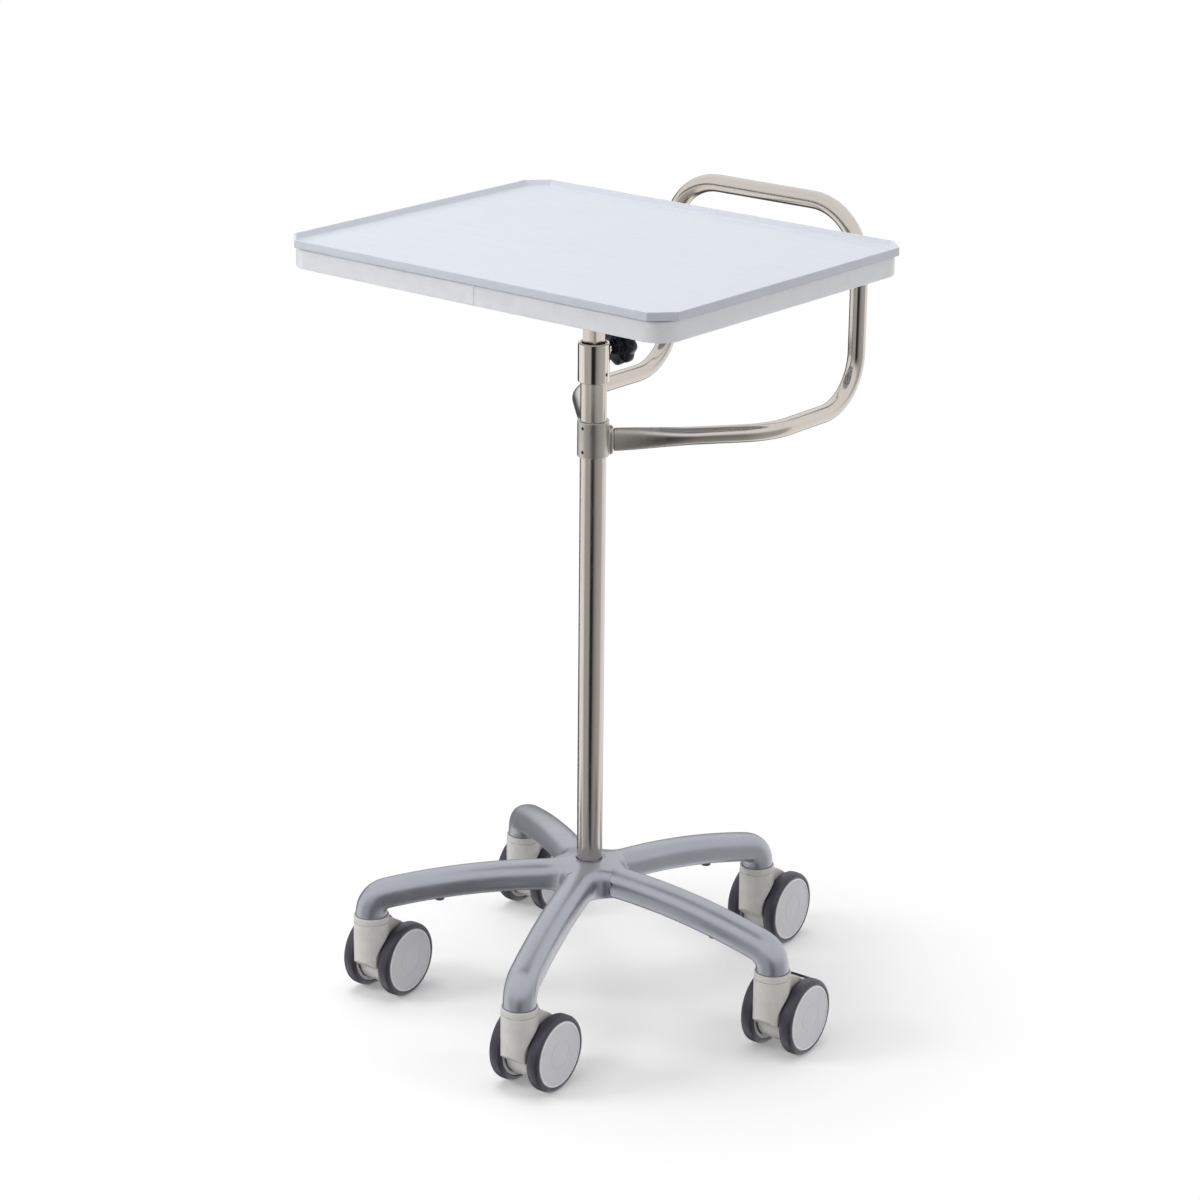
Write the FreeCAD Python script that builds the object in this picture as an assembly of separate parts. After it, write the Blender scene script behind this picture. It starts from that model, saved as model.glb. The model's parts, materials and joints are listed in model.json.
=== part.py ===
import FreeCAD
import Part
import math
import os

# Procedure cart on a five-armed star base with twin-wheel casters.
# Millimetres. The origin is on the floor under the mast axis, +X runs along the
# tray's long side, +Y points to the push handle and +Z is up.

# Clearances
body_gap = 0.3
running_fit = 0.05
slide_fit = 0.08

# Tray
tray_length = 584.0
tray_width = 470.0
tray_corner_leg = 25.0
tray_height = 991.0
lip_height = 10.0
lip_top_width = 2.5
lip_slope_run = 4.0
well_depth = 7.0
shadow_gap = 1.2
top_edge_round = 0.8

# Skirt frame folded from sheet under the tray
skirt_inset = 5.5
skirt_depth = 24.8
skirt_sheet = 2.0
skirt_flange = 16.0
skirt_corner_radius = 29.0

# Rails and plate that join the tray to its column
rail_width = 40.0
rail_height = 18.0
rail_sheet = 2.0
rail_spacing = 140.0
plate_size = 200.0
plate_thickness = 5.0
plate_corner_leg = 20.0
plate_bolt_diameter = 8.0
plate_bolt_spacing = 140.0
plate_bolt_head = 5.3
plate_bolt_flats = 13.0
plate_nut_height = 6.5

# Telescopic column and mast
column_size = 20.0
column_wall = 2.0
column_corner_radius = 1.5
column_length = 560.0
guide_length = 30.0
guide_spigot = 20.0
mast_diameter = 32.0
mast_wall = 1.5
mast_top_drop = 127.0
mast_plug_length = 30.0
bush_length = 40.0
bush_recess = 2.0

# Clamp collar with its hand knob
clamp_collar_wall = 3.4
clamp_collar_height = 48.5
clamp_collar_lip = 3.0
clamp_collar_chamfer = 1.0
clamp_boss_radius = 9.0
clamp_boss_reach = 26.0
stud_radius = 4.0
stud_drop = 12.5
pad_thickness = 2.7
knob_radius = 25.0
knob_lobes = 8
knob_lobe_depth = 3.0
knob_thickness = 16.0
knob_edge = 2.5
knob_neck_radius = 9.0
knob_neck_length = 10.0
knob_neck_start = 30.0
grub_radius = 2.0
grub_sink = 0.5
clamp_grub_rise = 11.0
clamp_grub_angle = 3.0

# Push handle
handle_clamp_gap = 48.0
handle_rise = 249.0
handle_half_span = 148.0
handle_reach = 337.0
handle_right_knee_y = 162.0
handle_left_knee_y = 150.0
handle_root_drop = 3.2
handle_tube_diameter = 22.0
handle_tube_wall = 1.5
handle_knee_radius = 90.0
handle_rise_radius = 67.0
handle_top_radius = 74.0
handle_root_height = 29.0
handle_root_thickness = 10.0
handle_taper_length = 105.0
handle_collar_wall = 3.5
handle_collar_height = 45.0
handle_boss_height = 36.0
handle_boss_width = 15.0
handle_boss_reach = 24.0
handle_seat_gap = 0.3
handle_grub_inset = 7.5
handle_grub_angle = -92.0
handle_boss_form = 3.0

# Star base
base_turn = 4.25
star_radius = 277.0
socket_radius = 20.3
socket_face_z = 116.1
arm_width = 40.0
arm_height = 36.0
arm_wall = 4.0
arm_root_reach = 40.0
arm_drop = 27.0
arm_elbow_run = 20.0
arm_top_form = 2.3
arm_bottom_form = 3.2
arm_cavity_start = 62.0
arm_cavity_end_inset = 40.0
hub_top_z = 196.0
hub_height = 44.0
hub_shoulder_drop = 9.0
hub_crown_drop = 3.2
hub_flat_radius = 22.0
hub_web_radius = 16.0
hub_arm_lift = 3.0
hub_recess_radius = 22.0
hub_recess_depth = 10.0
hub_floor = 10.0
hub_cover_thickness = 1.6
hub_bore_chamfer = 1.2
mast_bolt_diameter = 10.0
mast_bolt_head = 6.4
mast_bolt_flats = 16.0
mast_bolt_grip = 20.0
washer_radius = 10.0
washer_thickness = 2.0
plug_radius = 6.0
plug_proud = 5.0
plug_depth = 8.0
plug_reach = 190.0

# Casters
wheel_diameter = 97.0
wheel_inner_face = 19.0
wheel_width = 18.0
wheel_clearance = 1.5
tyre_thickness = 7.0
tyre_shoulder = 5.0
cap_radius = 40.6
cap_step = 0.8
cap_centre_radius = 18.0
wheel_web = 6.0
wheel_hub_radius = 12.0
wheel_rim_thickness = 4.5
wheel_end_wall = 2.2
axle_diameter = 10.0
axle_end_play = 0.5
caster_trail = 33.0
caster_body_width = 36.0
caster_lower_radius = 37.0
barrel_radius = 23.0
barrel_front_z = 57.0
barrel_bottom_z = 40.0
barrel_foot_y = -1.7
shoulder_start = 20.0
shoulder_crest_y = 46.0
shoulder_crest_z = 90.5
shoulder_end_angle = 20.0
lower_front_angle = 190.0
ring_radius = 22.6
ring_height = 8.5
stem_radius = 6.0
stem_socket_depth = 34.0
stem_bottom_z = 66.3
upper_bearing_radius = 13.0
upper_bearing_height = 10.0
upper_bearing_drop = 2.0
lower_bearing_radius = 10.0
lower_bearing_height = 12.0

# Brake pedal on the right-hand caster
pedal_width = 35.0
pedal_length = 22.0
pedal_thickness = 3.0
pedal_slope = 28.0
pedal_lift = 11.5
pedal_link_width = 18.0
pedal_hub_radius = 5.5
pedal_pin_radius = 2.5
pedal_pin_length = 34.0
pedal_pocket_clearance = 1.0
pedal_pivot_behind_axle = 9.3
pedal_pivot_above_axle = 34.0

# Heights and places that follow from the sizes above
rim_z = tray_height
lip_bottom_z = rim_z - lip_height
well_floor_z = rim_z - well_depth
skirt_top_z = lip_bottom_z - shadow_gap
skirt_bottom_z = skirt_top_z - skirt_depth
rail_top_z = skirt_top_z - skirt_sheet
rail_bottom_z = rail_top_z - rail_height
plate_bottom_z = rail_bottom_z - plate_thickness
column_bottom_z = plate_bottom_z - column_length
hub_bottom_z = hub_top_z - hub_height
hub_floor_bottom_z = hub_bottom_z + hub_recess_depth
mast_bottom_z = hub_floor_bottom_z + hub_floor
mast_top_z = rim_z - mast_top_drop
mast_radius = mast_diameter / 2
mast_bore = mast_radius - mast_wall
clamp_top_z = mast_top_z + clamp_collar_lip
clamp_bottom_z = clamp_top_z - clamp_collar_height
clamp_radius = mast_radius + clamp_collar_wall
knob_z = clamp_top_z - stud_drop
knob_near_y = knob_neck_start + knob_neck_length
pad_near_y = column_size / 2 + body_gap
stud_tip_y = pad_near_y + pad_thickness
handle_collar_radius = mast_radius + handle_collar_wall
handle_collar_top_z = clamp_bottom_z - handle_clamp_gap
handle_collar_bottom_z = handle_collar_top_z - handle_collar_height
handle_height = (handle_collar_bottom_z + handle_collar_top_z) / 2
handle_bar_height = handle_height + handle_rise
handle_tube_radius = handle_tube_diameter / 2
handle_root_z = handle_height - handle_root_drop
arm_root_z = hub_bottom_z + hub_arm_lift + arm_height / 2
arm_end_reach = star_radius - arm_elbow_run
arm_cavity_end = star_radius - arm_cavity_end_inset
wheel_radius = wheel_diameter / 2
wheel_outer_face = wheel_inner_face + wheel_width
rim_radius = wheel_radius - tyre_thickness
ring_bottom_z = socket_face_z - ring_height
housing_top_z = ring_bottom_z - body_gap
upper_bearing_top_z = ring_bottom_z - upper_bearing_drop
pedal_pivot_y = caster_trail + pedal_pivot_behind_axle
pedal_pivot_z = wheel_radius + pedal_pivot_above_axle

# The five casters, counted round the star from the right-hand arm
caster_names = ["right", "rear_right", "rear_left", "front_left", "front_right"]
arm_step = 360 / len(caster_names)
braked_caster = "right"


def vec(x, y, z):
    return FreeCAD.Vector(x, y, z)


origin = vec(0, 0, 0)
x_axis = vec(1, 0, 0)
y_axis = vec(0, 1, 0)
z_axis = vec(0, 0, 1)


def upright(radius, low_z, high_z, x=0.0, y=0.0):
    """Upright cylinder between two heights."""
    return Part.makeCylinder(radius, high_z - low_z, vec(x, y, low_z), z_axis)


def upright_tube(outer, inner, low_z, high_z):
    return upright(outer, low_z, high_z).cut(upright(inner, low_z, high_z))


def block(x_size, y_size, low_z, high_z, x=0.0, y=0.0):
    """Box centred on x and y between two heights."""
    corner = vec(x - x_size / 2, y - y_size / 2, low_z)
    return Part.makeBox(x_size, y_size, high_z - low_z, corner)


def round_upright_edges(shape, radius):
    upright_edges = []
    for edge in shape.Edges:
        start, end = [vertex.Point for vertex in edge.Vertexes]
        if math.hypot(start.x - end.x, start.y - end.y) < 1e-6:
            upright_edges.append(edge)
    return shape.makeFillet(radius, upright_edges)


def rounded_block(x_size, y_size, radius, low_z, high_z):
    return round_upright_edges(block(x_size, y_size, low_z, high_z), radius)


def polygon_face(points):
    return Part.Face(Part.makePolygon(points + [points[0]]))


def turned(profile, axis):
    """Solid of revolution about an axis through the origin."""
    return profile.revolve(origin, axis, 360)


def moved(shape, offset, angle=0.0):
    """Copy turned about Z through the origin after being shifted."""
    copy = shape.copy()
    copy.translate(offset)
    copy.rotate(origin, z_axis, angle)
    return copy


def hexagon(flats, low_z, high_z, x=0.0, y=0.0):
    corner = flats / math.sqrt(3)
    points = []
    for step in range(6):
        angle = math.radians(60 * step)
        points.append(vec(x + corner * math.cos(angle), y + corner * math.sin(angle), low_z))
    return polygon_face(points).extrude(vec(0, 0, high_z - low_z))


def closed_curve(points):
    """Smooth closed wire through points that run once round a section."""
    curve = Part.BSplineCurve()
    curve.interpolate(Points=points, PeriodicFlag=True)
    return Part.Wire([curve.toShape()])


def signed_power(value, power):
    return math.copysign(abs(value) ** power, value)


def oval_wire(centre, side, up, half_width, half_height, top_form=2.0, bottom_form=2.0):
    """Oval section; a form of 2 is an ellipse and a larger form is squarer."""
    points = []
    count = 20
    for step in range(count):
        angle = 2 * math.pi * step / count
        form = top_form if math.sin(angle) >= 0 else bottom_form
        across = half_width * signed_power(math.cos(angle), 2 / form)
        rise = half_height * signed_power(math.sin(angle), 2 / form)
        points.append(centre + side * across + up * rise)
    return closed_curve(points)


def loft(wires, ruled=False):
    return Part.makeLoft(wires, True, ruled)


def group(shapes):
    return Part.makeCompound(shapes)


# Tray

def tray_outline(inset, z):
    """Rectangle with cut corners, drawn in from the lip's outer face."""
    half_x = tray_length / 2 - inset
    half_y = tray_width / 2 - inset
    leg = tray_corner_leg - inset * (2 - math.sqrt(2))
    quarter = [(half_x, half_y - leg), (half_x - leg, half_y)]
    points = [vec(x, y, z) for x, y in quarter]
    points += [vec(-x, y, z) for x, y in reversed(quarter)]
    points += [vec(-x, -y, z) for x, y in quarter]
    points += [vec(x, -y, z) for x, y in reversed(quarter)]
    return points


def tray_top():
    slab = polygon_face(tray_outline(0, lip_bottom_z)).extrude(vec(0, 0, lip_height))
    rim_edges = [edge for edge in slab.Edges if edge.BoundBox.ZMin > rim_z - 1e-6]
    slab = slab.makeFillet(top_edge_round, rim_edges)
    mouth = Part.makePolygon(closed(tray_outline(lip_top_width, rim_z)))
    floor = Part.makePolygon(closed(tray_outline(lip_top_width + lip_slope_run, well_floor_z)))
    slab = slab.cut(loft([floor, mouth], ruled=True))
    return slab.fuse(locating_pad()).removeSplitter()


def closed(points):
    return points + [points[0]]


def skirt_block(inset, low_z, high_z):
    """Rounded block of the skirt's plan, drawn in by an inset."""
    outer_inset = skirt_inset + inset
    x_size = tray_length - 2 * outer_inset
    y_size = tray_width - 2 * outer_inset
    return rounded_block(x_size, y_size, skirt_corner_radius - inset, low_z, high_z)


def locating_pad():
    """Step under the tray that stands on the skirt's top flange."""
    return skirt_block(skirt_sheet * 2, skirt_top_z, lip_bottom_z)


def tray_skirt():
    outer = skirt_block(0, skirt_bottom_z, skirt_top_z)
    channel = skirt_block(skirt_sheet, skirt_bottom_z + skirt_sheet, skirt_top_z - skirt_sheet)
    window = skirt_block(skirt_flange, skirt_bottom_z, skirt_top_z)
    return outer.cut(channel).cut(window)


def rail_places():
    return [-rail_spacing / 2, rail_spacing / 2]


def tray_rails():
    length = tray_length - 2 * (skirt_inset + skirt_sheet)
    rails = []
    for y in rail_places():
        rail = block(length, rail_width, rail_bottom_z, rail_top_z, y=y)
        trough = block(length, rail_width - 2 * rail_sheet, rail_bottom_z + rail_sheet, rail_top_z, y=y)
        rail = rail.cut(trough)
        for x, bolt_y in bolt_places():
            hole = upright(plate_bolt_diameter / 2, rail_bottom_z, rail_bottom_z + rail_sheet, x, bolt_y)
            rail = rail.cut(hole)
        rails.append(rail)
    return group(rails)


def bolt_places():
    half = plate_bolt_spacing / 2
    return [(x, y) for x in (-half, half) for y in rail_places()]


def mount_plate():
    half = plate_size / 2
    inner = half - plate_corner_leg
    quarter = [(half, inner), (inner, half)]
    points = [vec(x, y, plate_bottom_z) for x, y in quarter]
    points += [vec(-x, y, plate_bottom_z) for x, y in reversed(quarter)]
    points += [vec(-x, -y, plate_bottom_z) for x, y in quarter]
    points += [vec(x, -y, plate_bottom_z) for x, y in reversed(quarter)]
    plate = polygon_face(points).extrude(vec(0, 0, plate_thickness))
    for x, y in bolt_places():
        plate = plate.cut(upright(plate_bolt_diameter / 2, plate_bottom_z, rail_bottom_z, x, y))
    return plate


def mount_bolts():
    bolts = []
    shank_top = rail_bottom_z + rail_sheet + plate_nut_height
    for x, y in bolt_places():
        head = hexagon(plate_bolt_flats, plate_bottom_z - plate_bolt_head, plate_bottom_z, x, y)
        shank = upright(plate_bolt_diameter / 2, plate_bottom_z, shank_top, x, y)
        bolts.append(head.fuse(shank))
    return group(bolts)


def mount_nuts():
    nuts = []
    low_z = rail_bottom_z + rail_sheet
    for x, y in bolt_places():
        nut = hexagon(plate_bolt_flats, low_z, low_z + plate_nut_height, x, y)
        nuts.append(nut.cut(upright(plate_bolt_diameter / 2, low_z, low_z + plate_nut_height, x, y)))
    return group(nuts)


# Column and mast

def inner_column():
    inner_size = column_size - 2 * column_wall
    inner_radius = column_corner_radius / 2
    outer = rounded_block(column_size, column_size, column_corner_radius, column_bottom_z, plate_bottom_z)
    inner = rounded_block(inner_size, inner_size, inner_radius, column_bottom_z, plate_bottom_z)
    return outer.cut(inner)


def column_guide():
    """Block on the column's lower end that slides in the mast."""
    low_z = column_bottom_z - guide_length
    spigot_size = column_size - 2 * column_wall
    head = upright(mast_bore - slide_fit, low_z, column_bottom_z)
    spigot = rounded_block(spigot_size, spigot_size, column_corner_radius / 2,
                           column_bottom_z, column_bottom_z + guide_spigot)
    return head.fuse(spigot)


def mast_tube():
    tube = upright_tube(mast_radius, mast_bore, mast_bottom_z, mast_top_z)
    return tube.cut(stud_passage())


def stud_passage():
    """Clearance hole from the column's face out through the mast wall."""
    return Part.makeCylinder(stud_radius + body_gap, mast_radius, vec(0, 0, knob_z), y_axis)


def mast_bush():
    """Guide at the mast's mouth with a square hole for the column."""
    top_z = mast_top_z - bush_recess
    body = upright(mast_bore, top_z - bush_length, top_z)
    hole_size = column_size + 2 * slide_fit
    hole = rounded_block(hole_size, hole_size, column_corner_radius, top_z - bush_length, top_z)
    return body.cut(hole).cut(stud_passage())


def mast_plug():
    """Tapped slug in the mast's foot that takes the base bolt."""
    body = upright(mast_bore, mast_bottom_z, mast_bottom_z + mast_plug_length)
    return body.cut(upright(mast_bolt_diameter / 2, mast_bottom_z, mast_bottom_z + mast_bolt_grip))


def mast_washer():
    low_z = hub_floor_bottom_z - washer_thickness
    return upright_tube(washer_radius, mast_bolt_diameter / 2, low_z, hub_floor_bottom_z)


def mast_bolt():
    head_top = hub_floor_bottom_z - washer_thickness
    head = hexagon(mast_bolt_flats, head_top - mast_bolt_head, head_top)
    return head.fuse(upright(mast_bolt_diameter / 2, head_top, mast_bottom_z + mast_bolt_grip))


# Clamp collar and knob

def grub_screw(collar_outer, angle, z):
    """Grub screw through a collar wall with a hexagon socket in its end."""
    length = collar_outer - grub_sink - mast_radius
    screw = upright(grub_radius, 0, length)
    socket = hexagon(grub_radius, length / 2, length)
    screw = screw.cut(socket)
    screw.rotate(origin, y_axis, 90)
    return moved(screw, vec(mast_radius, 0, z), angle)


def grub_hole(collar_outer, angle, z):
    hole = Part.makeCylinder(grub_radius, collar_outer + 1, vec(0, 0, z), x_axis)
    return moved(hole, origin, angle)


def clamp_collar():
    collar = upright(clamp_radius, clamp_bottom_z, clamp_top_z)
    ends = [edge for edge in collar.Edges if edge.BoundBox.ZLength < 1e-6]
    collar = collar.makeChamfer(clamp_collar_chamfer, ends)
    boss = Part.makeCylinder(clamp_boss_radius, clamp_boss_reach, vec(0, 0, knob_z), y_axis)
    collar = collar.fuse(boss).cut(upright(mast_radius, clamp_bottom_z, clamp_top_z))
    thread = Part.makeCylinder(stud_radius + running_fit, clamp_boss_reach, vec(0, 0, knob_z), y_axis)
    grub_z = clamp_bottom_z + clamp_grub_rise
    return collar.cut(thread).cut(grub_hole(clamp_radius, clamp_grub_angle, grub_z))


def grub_screws():
    screws = [grub_screw(clamp_radius, clamp_grub_angle, clamp_bottom_z + clamp_grub_rise)]
    for z in handle_grub_heights():
        screws.append(grub_screw(handle_collar_radius, handle_grub_angle, z))
    return group(screws)


def handle_grub_heights():
    return [handle_collar_bottom_z + handle_grub_inset, handle_collar_top_z - handle_grub_inset]


def knob_outline(inset, y):
    """Lobed outline of the knob, square to the stud."""
    points = []
    count = knob_lobes * 6
    middle = knob_radius - knob_lobe_depth / 2 - inset
    for step in range(count):
        angle = 2 * math.pi * step / count
        radius = middle + knob_lobe_depth / 2 * math.cos(knob_lobes * angle)
        points.append(vec(radius * math.cos(angle), y, knob_z + radius * math.sin(angle)))
    return closed_curve(points)


def clamp_knob():
    far_y = knob_near_y + knob_thickness
    body = loft([knob_outline(knob_edge, knob_near_y),
                 knob_outline(0, knob_near_y + knob_edge),
                 knob_outline(0, far_y - knob_edge),
                 knob_outline(knob_edge, far_y)], ruled=True)
    neck = Part.makeCylinder(knob_neck_radius, knob_neck_length + knob_edge,
                             vec(0, knob_neck_start, knob_z), y_axis)
    bore = Part.makeCylinder(stud_radius, knob_neck_length + knob_thickness / 2,
                             vec(0, knob_neck_start, knob_z), y_axis)
    return body.fuse(neck).cut(bore)


def clamp_stud():
    end_y = knob_near_y + knob_thickness / 2
    return Part.makeCylinder(stud_radius, end_y - stud_tip_y, vec(0, stud_tip_y, knob_z), y_axis)


def clamp_pad():
    """Pressure pad between the stud's tip and the column."""
    return Part.makeCylinder(stud_radius, pad_thickness, vec(0, pad_near_y, knob_z), y_axis)


# Push handle

def handle_knee(side):
    """Corner between an arm's rise from the mast and its straight run to the rear."""
    knee_y = handle_right_knee_y if side > 0 else handle_left_knee_y
    return vec(side * handle_half_span, knee_y, handle_height)


def handle_boss_direction(side):
    knee = handle_knee(side)
    return vec(knee.x, knee.y, 0).normalize()


def handle_root(side):
    """Where an arm leaves its boss, and its direction out to the knee."""
    reach = handle_boss_reach + handle_seat_gap
    start = handle_boss_direction(side) * reach + vec(0, 0, handle_root_z)
    return start, (handle_knee(side) - start).normalize()


def round_bar(start, end, radius):
    run = end - start
    return Part.makeCylinder(radius, run.Length, start, run)


def round_bend(start, centre, turn_axis, angle, radius):
    """Bent length of round bar that sets out from start about a centre."""
    heading = turn_axis.cross(start - centre)
    disc = Part.Face(Part.Wire([Part.Circle(start, heading, radius).toShape()]))
    return disc.revolve(centre, turn_axis, math.degrees(angle))


def bent_bar(points, bend_radii, radius):
    """Round bar along straight runs joined by tangent bends."""
    bar = None
    last = points[0]
    for before, corner, after, bend_radius in zip(points, points[1:], points[2:], bend_radii):
        to_before = (before - corner).normalize()
        to_after = (after - corner).normalize()
        half_angle = to_before.getAngle(to_after) / 2
        reach = bend_radius / math.tan(half_angle)
        bend_start = corner + to_before * reach
        centre = corner + (to_before + to_after).normalize() * (bend_radius / math.sin(half_angle))
        turn_axis = to_after.cross(to_before)
        bend = round_bend(bend_start, centre, turn_axis, math.pi - 2 * half_angle, radius)
        run = round_bar(last, bend_start, radius)
        bar = run.fuse(bend) if bar is None else bar.fuse(run).fuse(bend)
        last = corner + to_after * reach
    return bar.fuse(round_bar(last, points[-1], radius))


def handle_bar(radius):
    """Round part of the handle, from the end of one arm's taper to the other."""
    right_root, right_direction = handle_root(1)
    left_root, left_direction = handle_root(-1)
    span = handle_half_span
    points = [right_root + right_direction * handle_taper_length,
              handle_knee(1),
              vec(span, handle_reach, handle_height),
              vec(span, handle_reach, handle_bar_height),
              vec(-span, handle_reach, handle_bar_height),
              vec(-span, handle_reach, handle_height),
              handle_knee(-1),
              left_root + left_direction * handle_taper_length]
    bends = [handle_knee_radius, handle_rise_radius, handle_top_radius]
    return bent_bar(points, bends + bends[::-1], radius)


def flattened_ring(side, share, shrink):
    """Section of an arm's root at a share of the way out to the round tube."""
    root, direction = handle_root(side)
    across = direction.cross(z_axis).normalize()
    up = across.cross(direction)
    blend = share * share * (3 - 2 * share)
    centre = root + direction * (handle_taper_length * share)
    half_height = handle_root_height / 2 * (1 - blend) + handle_tube_radius * blend - shrink
    half_width = handle_root_thickness / 2 * (1 - blend) + handle_tube_radius * blend - shrink
    if share == 1:
        ring = Part.Circle(centre, direction, half_height)
        ring.XAxis = up
    else:
        ring = Part.Ellipse(centre + up * half_height, centre - across * half_width, centre)
    return Part.Wire([ring.toShape()])


def handle_taper(side, shrink):
    """Flattened root of an arm, from its boss out to the round tube."""
    steps = 4
    return loft([flattened_ring(side, step / steps, shrink) for step in range(steps + 1)])


def handle_solid(shrink):
    """Whole handle drawn in from its outer surface."""
    body = handle_bar(handle_tube_radius - shrink)
    for side in (1, -1):
        body = body.fuse(handle_taper(side, shrink))
    return body


def handle_tube():
    return handle_solid(0).cut(handle_solid(handle_tube_wall))


def handle_collar():
    collar = upright(handle_collar_radius, handle_collar_bottom_z, handle_collar_top_z)
    for side in (1, -1):
        direction = handle_boss_direction(side)
        across = direction.cross(z_axis)
        centre = vec(0, 0, handle_root_z)
        half_width = handle_boss_width / 2
        half_height = handle_boss_height / 2
        wires = [oval_wire(centre + direction * reach, across, z_axis, half_width, half_height,
                           handle_boss_form, handle_boss_form)
                 for reach in (mast_radius / 2, handle_boss_reach)]
        collar = collar.fuse(loft(wires, ruled=True))
    collar = collar.cut(upright(mast_radius, handle_collar_bottom_z, handle_collar_top_z))
    for z in handle_grub_heights():
        collar = collar.cut(grub_hole(handle_collar_radius, handle_grub_angle, z))
    return collar


# Star base, built with its right-hand arm along +X and turned at the end

def arm_angles():
    return [arm_step * index for index in range(len(caster_names))]


def arm_frame(reach):
    """Centre and upward direction of an arm's section at a distance out."""
    span = arm_end_reach - arm_root_reach
    share = max(0.0, (reach - arm_root_reach) / span)
    slope = math.atan(2 * arm_drop * share / span)
    centre = vec(reach, 0, arm_root_z - arm_drop * share * share)
    return centre, vec(math.sin(slope), 0, math.cos(slope)), slope


def arm_sections():
    """Sections of one arm from inside the hub to the caster socket's face."""
    half_width = arm_width / 2
    half_height = arm_height / 2
    wires = []
    steps = 7
    root = hub_flat_radius
    for step in range(steps):
        centre, up, slope = arm_frame(root + (arm_end_reach - root) * step / steps)
        wires.append(oval_wire(centre, y_axis, up, half_width, half_height, arm_top_form, arm_bottom_form))
    start, up, slope = arm_frame(arm_end_reach)
    run = arm_elbow_run / math.cos(slope)
    turn = math.pi / 2 - slope
    bend_radius = run / math.tan(turn / 2)
    bend_centre = start - up * bend_radius
    bend_steps = 4
    for step in range(bend_steps + 1):
        share = step / bend_steps
        angle = slope + turn * share
        up = vec(math.sin(angle), 0, math.cos(angle))
        width = half_width * (1 - share) + socket_radius * share
        height = half_height * (1 - share) + socket_radius * share
        top_form = arm_top_form * (1 - share) + 2 * share
        bottom_form = arm_bottom_form * (1 - share) + 2 * share
        centre = bend_centre + up * bend_radius
        wires.append(oval_wire(centre, y_axis, up, width, height, top_form, bottom_form))
    face = vec(star_radius, 0, socket_face_z)
    wires.append(oval_wire(face, y_axis, x_axis, socket_radius, socket_radius))
    return wires


def arm_cavity():
    """Cored space inside an arm, closed at both ends."""
    wires = []
    steps = 5
    for step in range(steps + 1):
        reach = arm_cavity_start + (arm_cavity_end - arm_cavity_start) * step / steps
        centre, up, slope = arm_frame(reach)
        half_width = arm_width / 2 - arm_wall
        half_height = arm_height / 2 - arm_wall
        wires.append(oval_wire(centre, y_axis, up, half_width, half_height, arm_top_form, arm_bottom_form))
    return loft(wires)


def hub_outline_face():
    """Plan of the hub: arm roots joined by hollow arcs."""
    edges = []
    half_step = math.radians(arm_step / 2)
    web_centre_reach = (arm_width / 2 + hub_web_radius) / math.sin(half_step)
    tangent_reach = (arm_width / 2 + hub_web_radius) / math.tan(half_step)
    points = []
    for angle in arm_angles():
        for side in (-1, 1):
            point = vec(tangent_reach, side * arm_width / 2, hub_bottom_z)
            points.append(moved_point(point, angle))
    for index, angle in enumerate(arm_angles()):
        first = points[2 * index]
        second = points[2 * index + 1]
        third = points[(2 * index + 2) % len(points)]
        hollow_reach = vec(web_centre_reach - hub_web_radius, 0, hub_bottom_z)
        hollow = moved_point(hollow_reach, angle + arm_step / 2)
        edges.append(Part.LineSegment(first, second).toShape())
        edges.append(Part.Arc(second, hollow, third).toShape())
    return Part.Face(Part.Wire(edges))


def moved_point(point, angle):
    turn = math.radians(angle)
    x = point.x * math.cos(turn) - point.y * math.sin(turn)
    y = point.x * math.sin(turn) + point.y * math.cos(turn)
    return vec(x, y, point.z)


def hub_dome():
    """Turned form that rounds the hub's top off towards the arms."""
    outer = hub_web_radius + arm_width + hub_flat_radius
    edge_z = hub_top_z - hub_shoulder_drop
    middle = (hub_flat_radius + outer) / 2
    crown = Part.Arc(vec(hub_flat_radius, 0, hub_top_z),
                     vec(middle, 0, hub_top_z - hub_crown_drop),
                     vec(outer, 0, edge_z)).toShape()
    low = vec(0, 0, hub_bottom_z)
    edges = [Part.LineSegment(vec(0, 0, hub_top_z), vec(hub_flat_radius, 0, hub_top_z)).toShape(),
             crown,
             Part.LineSegment(vec(outer, 0, edge_z), vec(outer, 0, hub_bottom_z)).toShape(),
             Part.LineSegment(vec(outer, 0, hub_bottom_z), low).toShape(),
             Part.LineSegment(low, vec(0, 0, hub_top_z)).toShape()]
    return turned(Part.Face(Part.Wire(edges)), z_axis)


def base_casting():
    body = hub_outline_face().extrude(vec(0, 0, hub_height)).common(hub_dome())
    arm = loft(arm_sections())
    for angle in arm_angles():
        body = body.fuse(moved(arm, origin, angle))
    body = body.cut(upright(mast_radius + running_fit, mast_bottom_z, hub_top_z))
    body = body.cut(mast_mouth())
    body = body.cut(upright(hub_recess_radius, hub_bottom_z - hub_recess_depth, hub_floor_bottom_z))
    body = body.cut(upright(mast_bolt_diameter / 2, hub_floor_bottom_z, mast_bottom_z))
    for angle in arm_angles():
        body = body.cut(moved(arm_cavity(), origin, angle))
        body = body.cut(moved(arm_plug(), origin, angle))
        body = body.cut(moved(stem_socket(), origin, angle))
    return body


def mast_mouth():
    """Chamfer where the mast enters the hub."""
    radius = mast_radius + running_fit
    return Part.makeCone(radius, radius + hub_bore_chamfer, hub_bore_chamfer,
                         vec(0, 0, hub_top_z - hub_bore_chamfer), z_axis)


def arm_plug():
    """Round plug that closes the core hole under an arm."""
    centre, up, slope = arm_frame(plug_reach)
    underside = centre.z - arm_height / 2
    return upright(plug_radius, underside - plug_proud, underside + plug_depth, plug_reach)


def arm_plugs():
    return group([moved(arm_plug(), origin, angle) for angle in arm_angles()])


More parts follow.
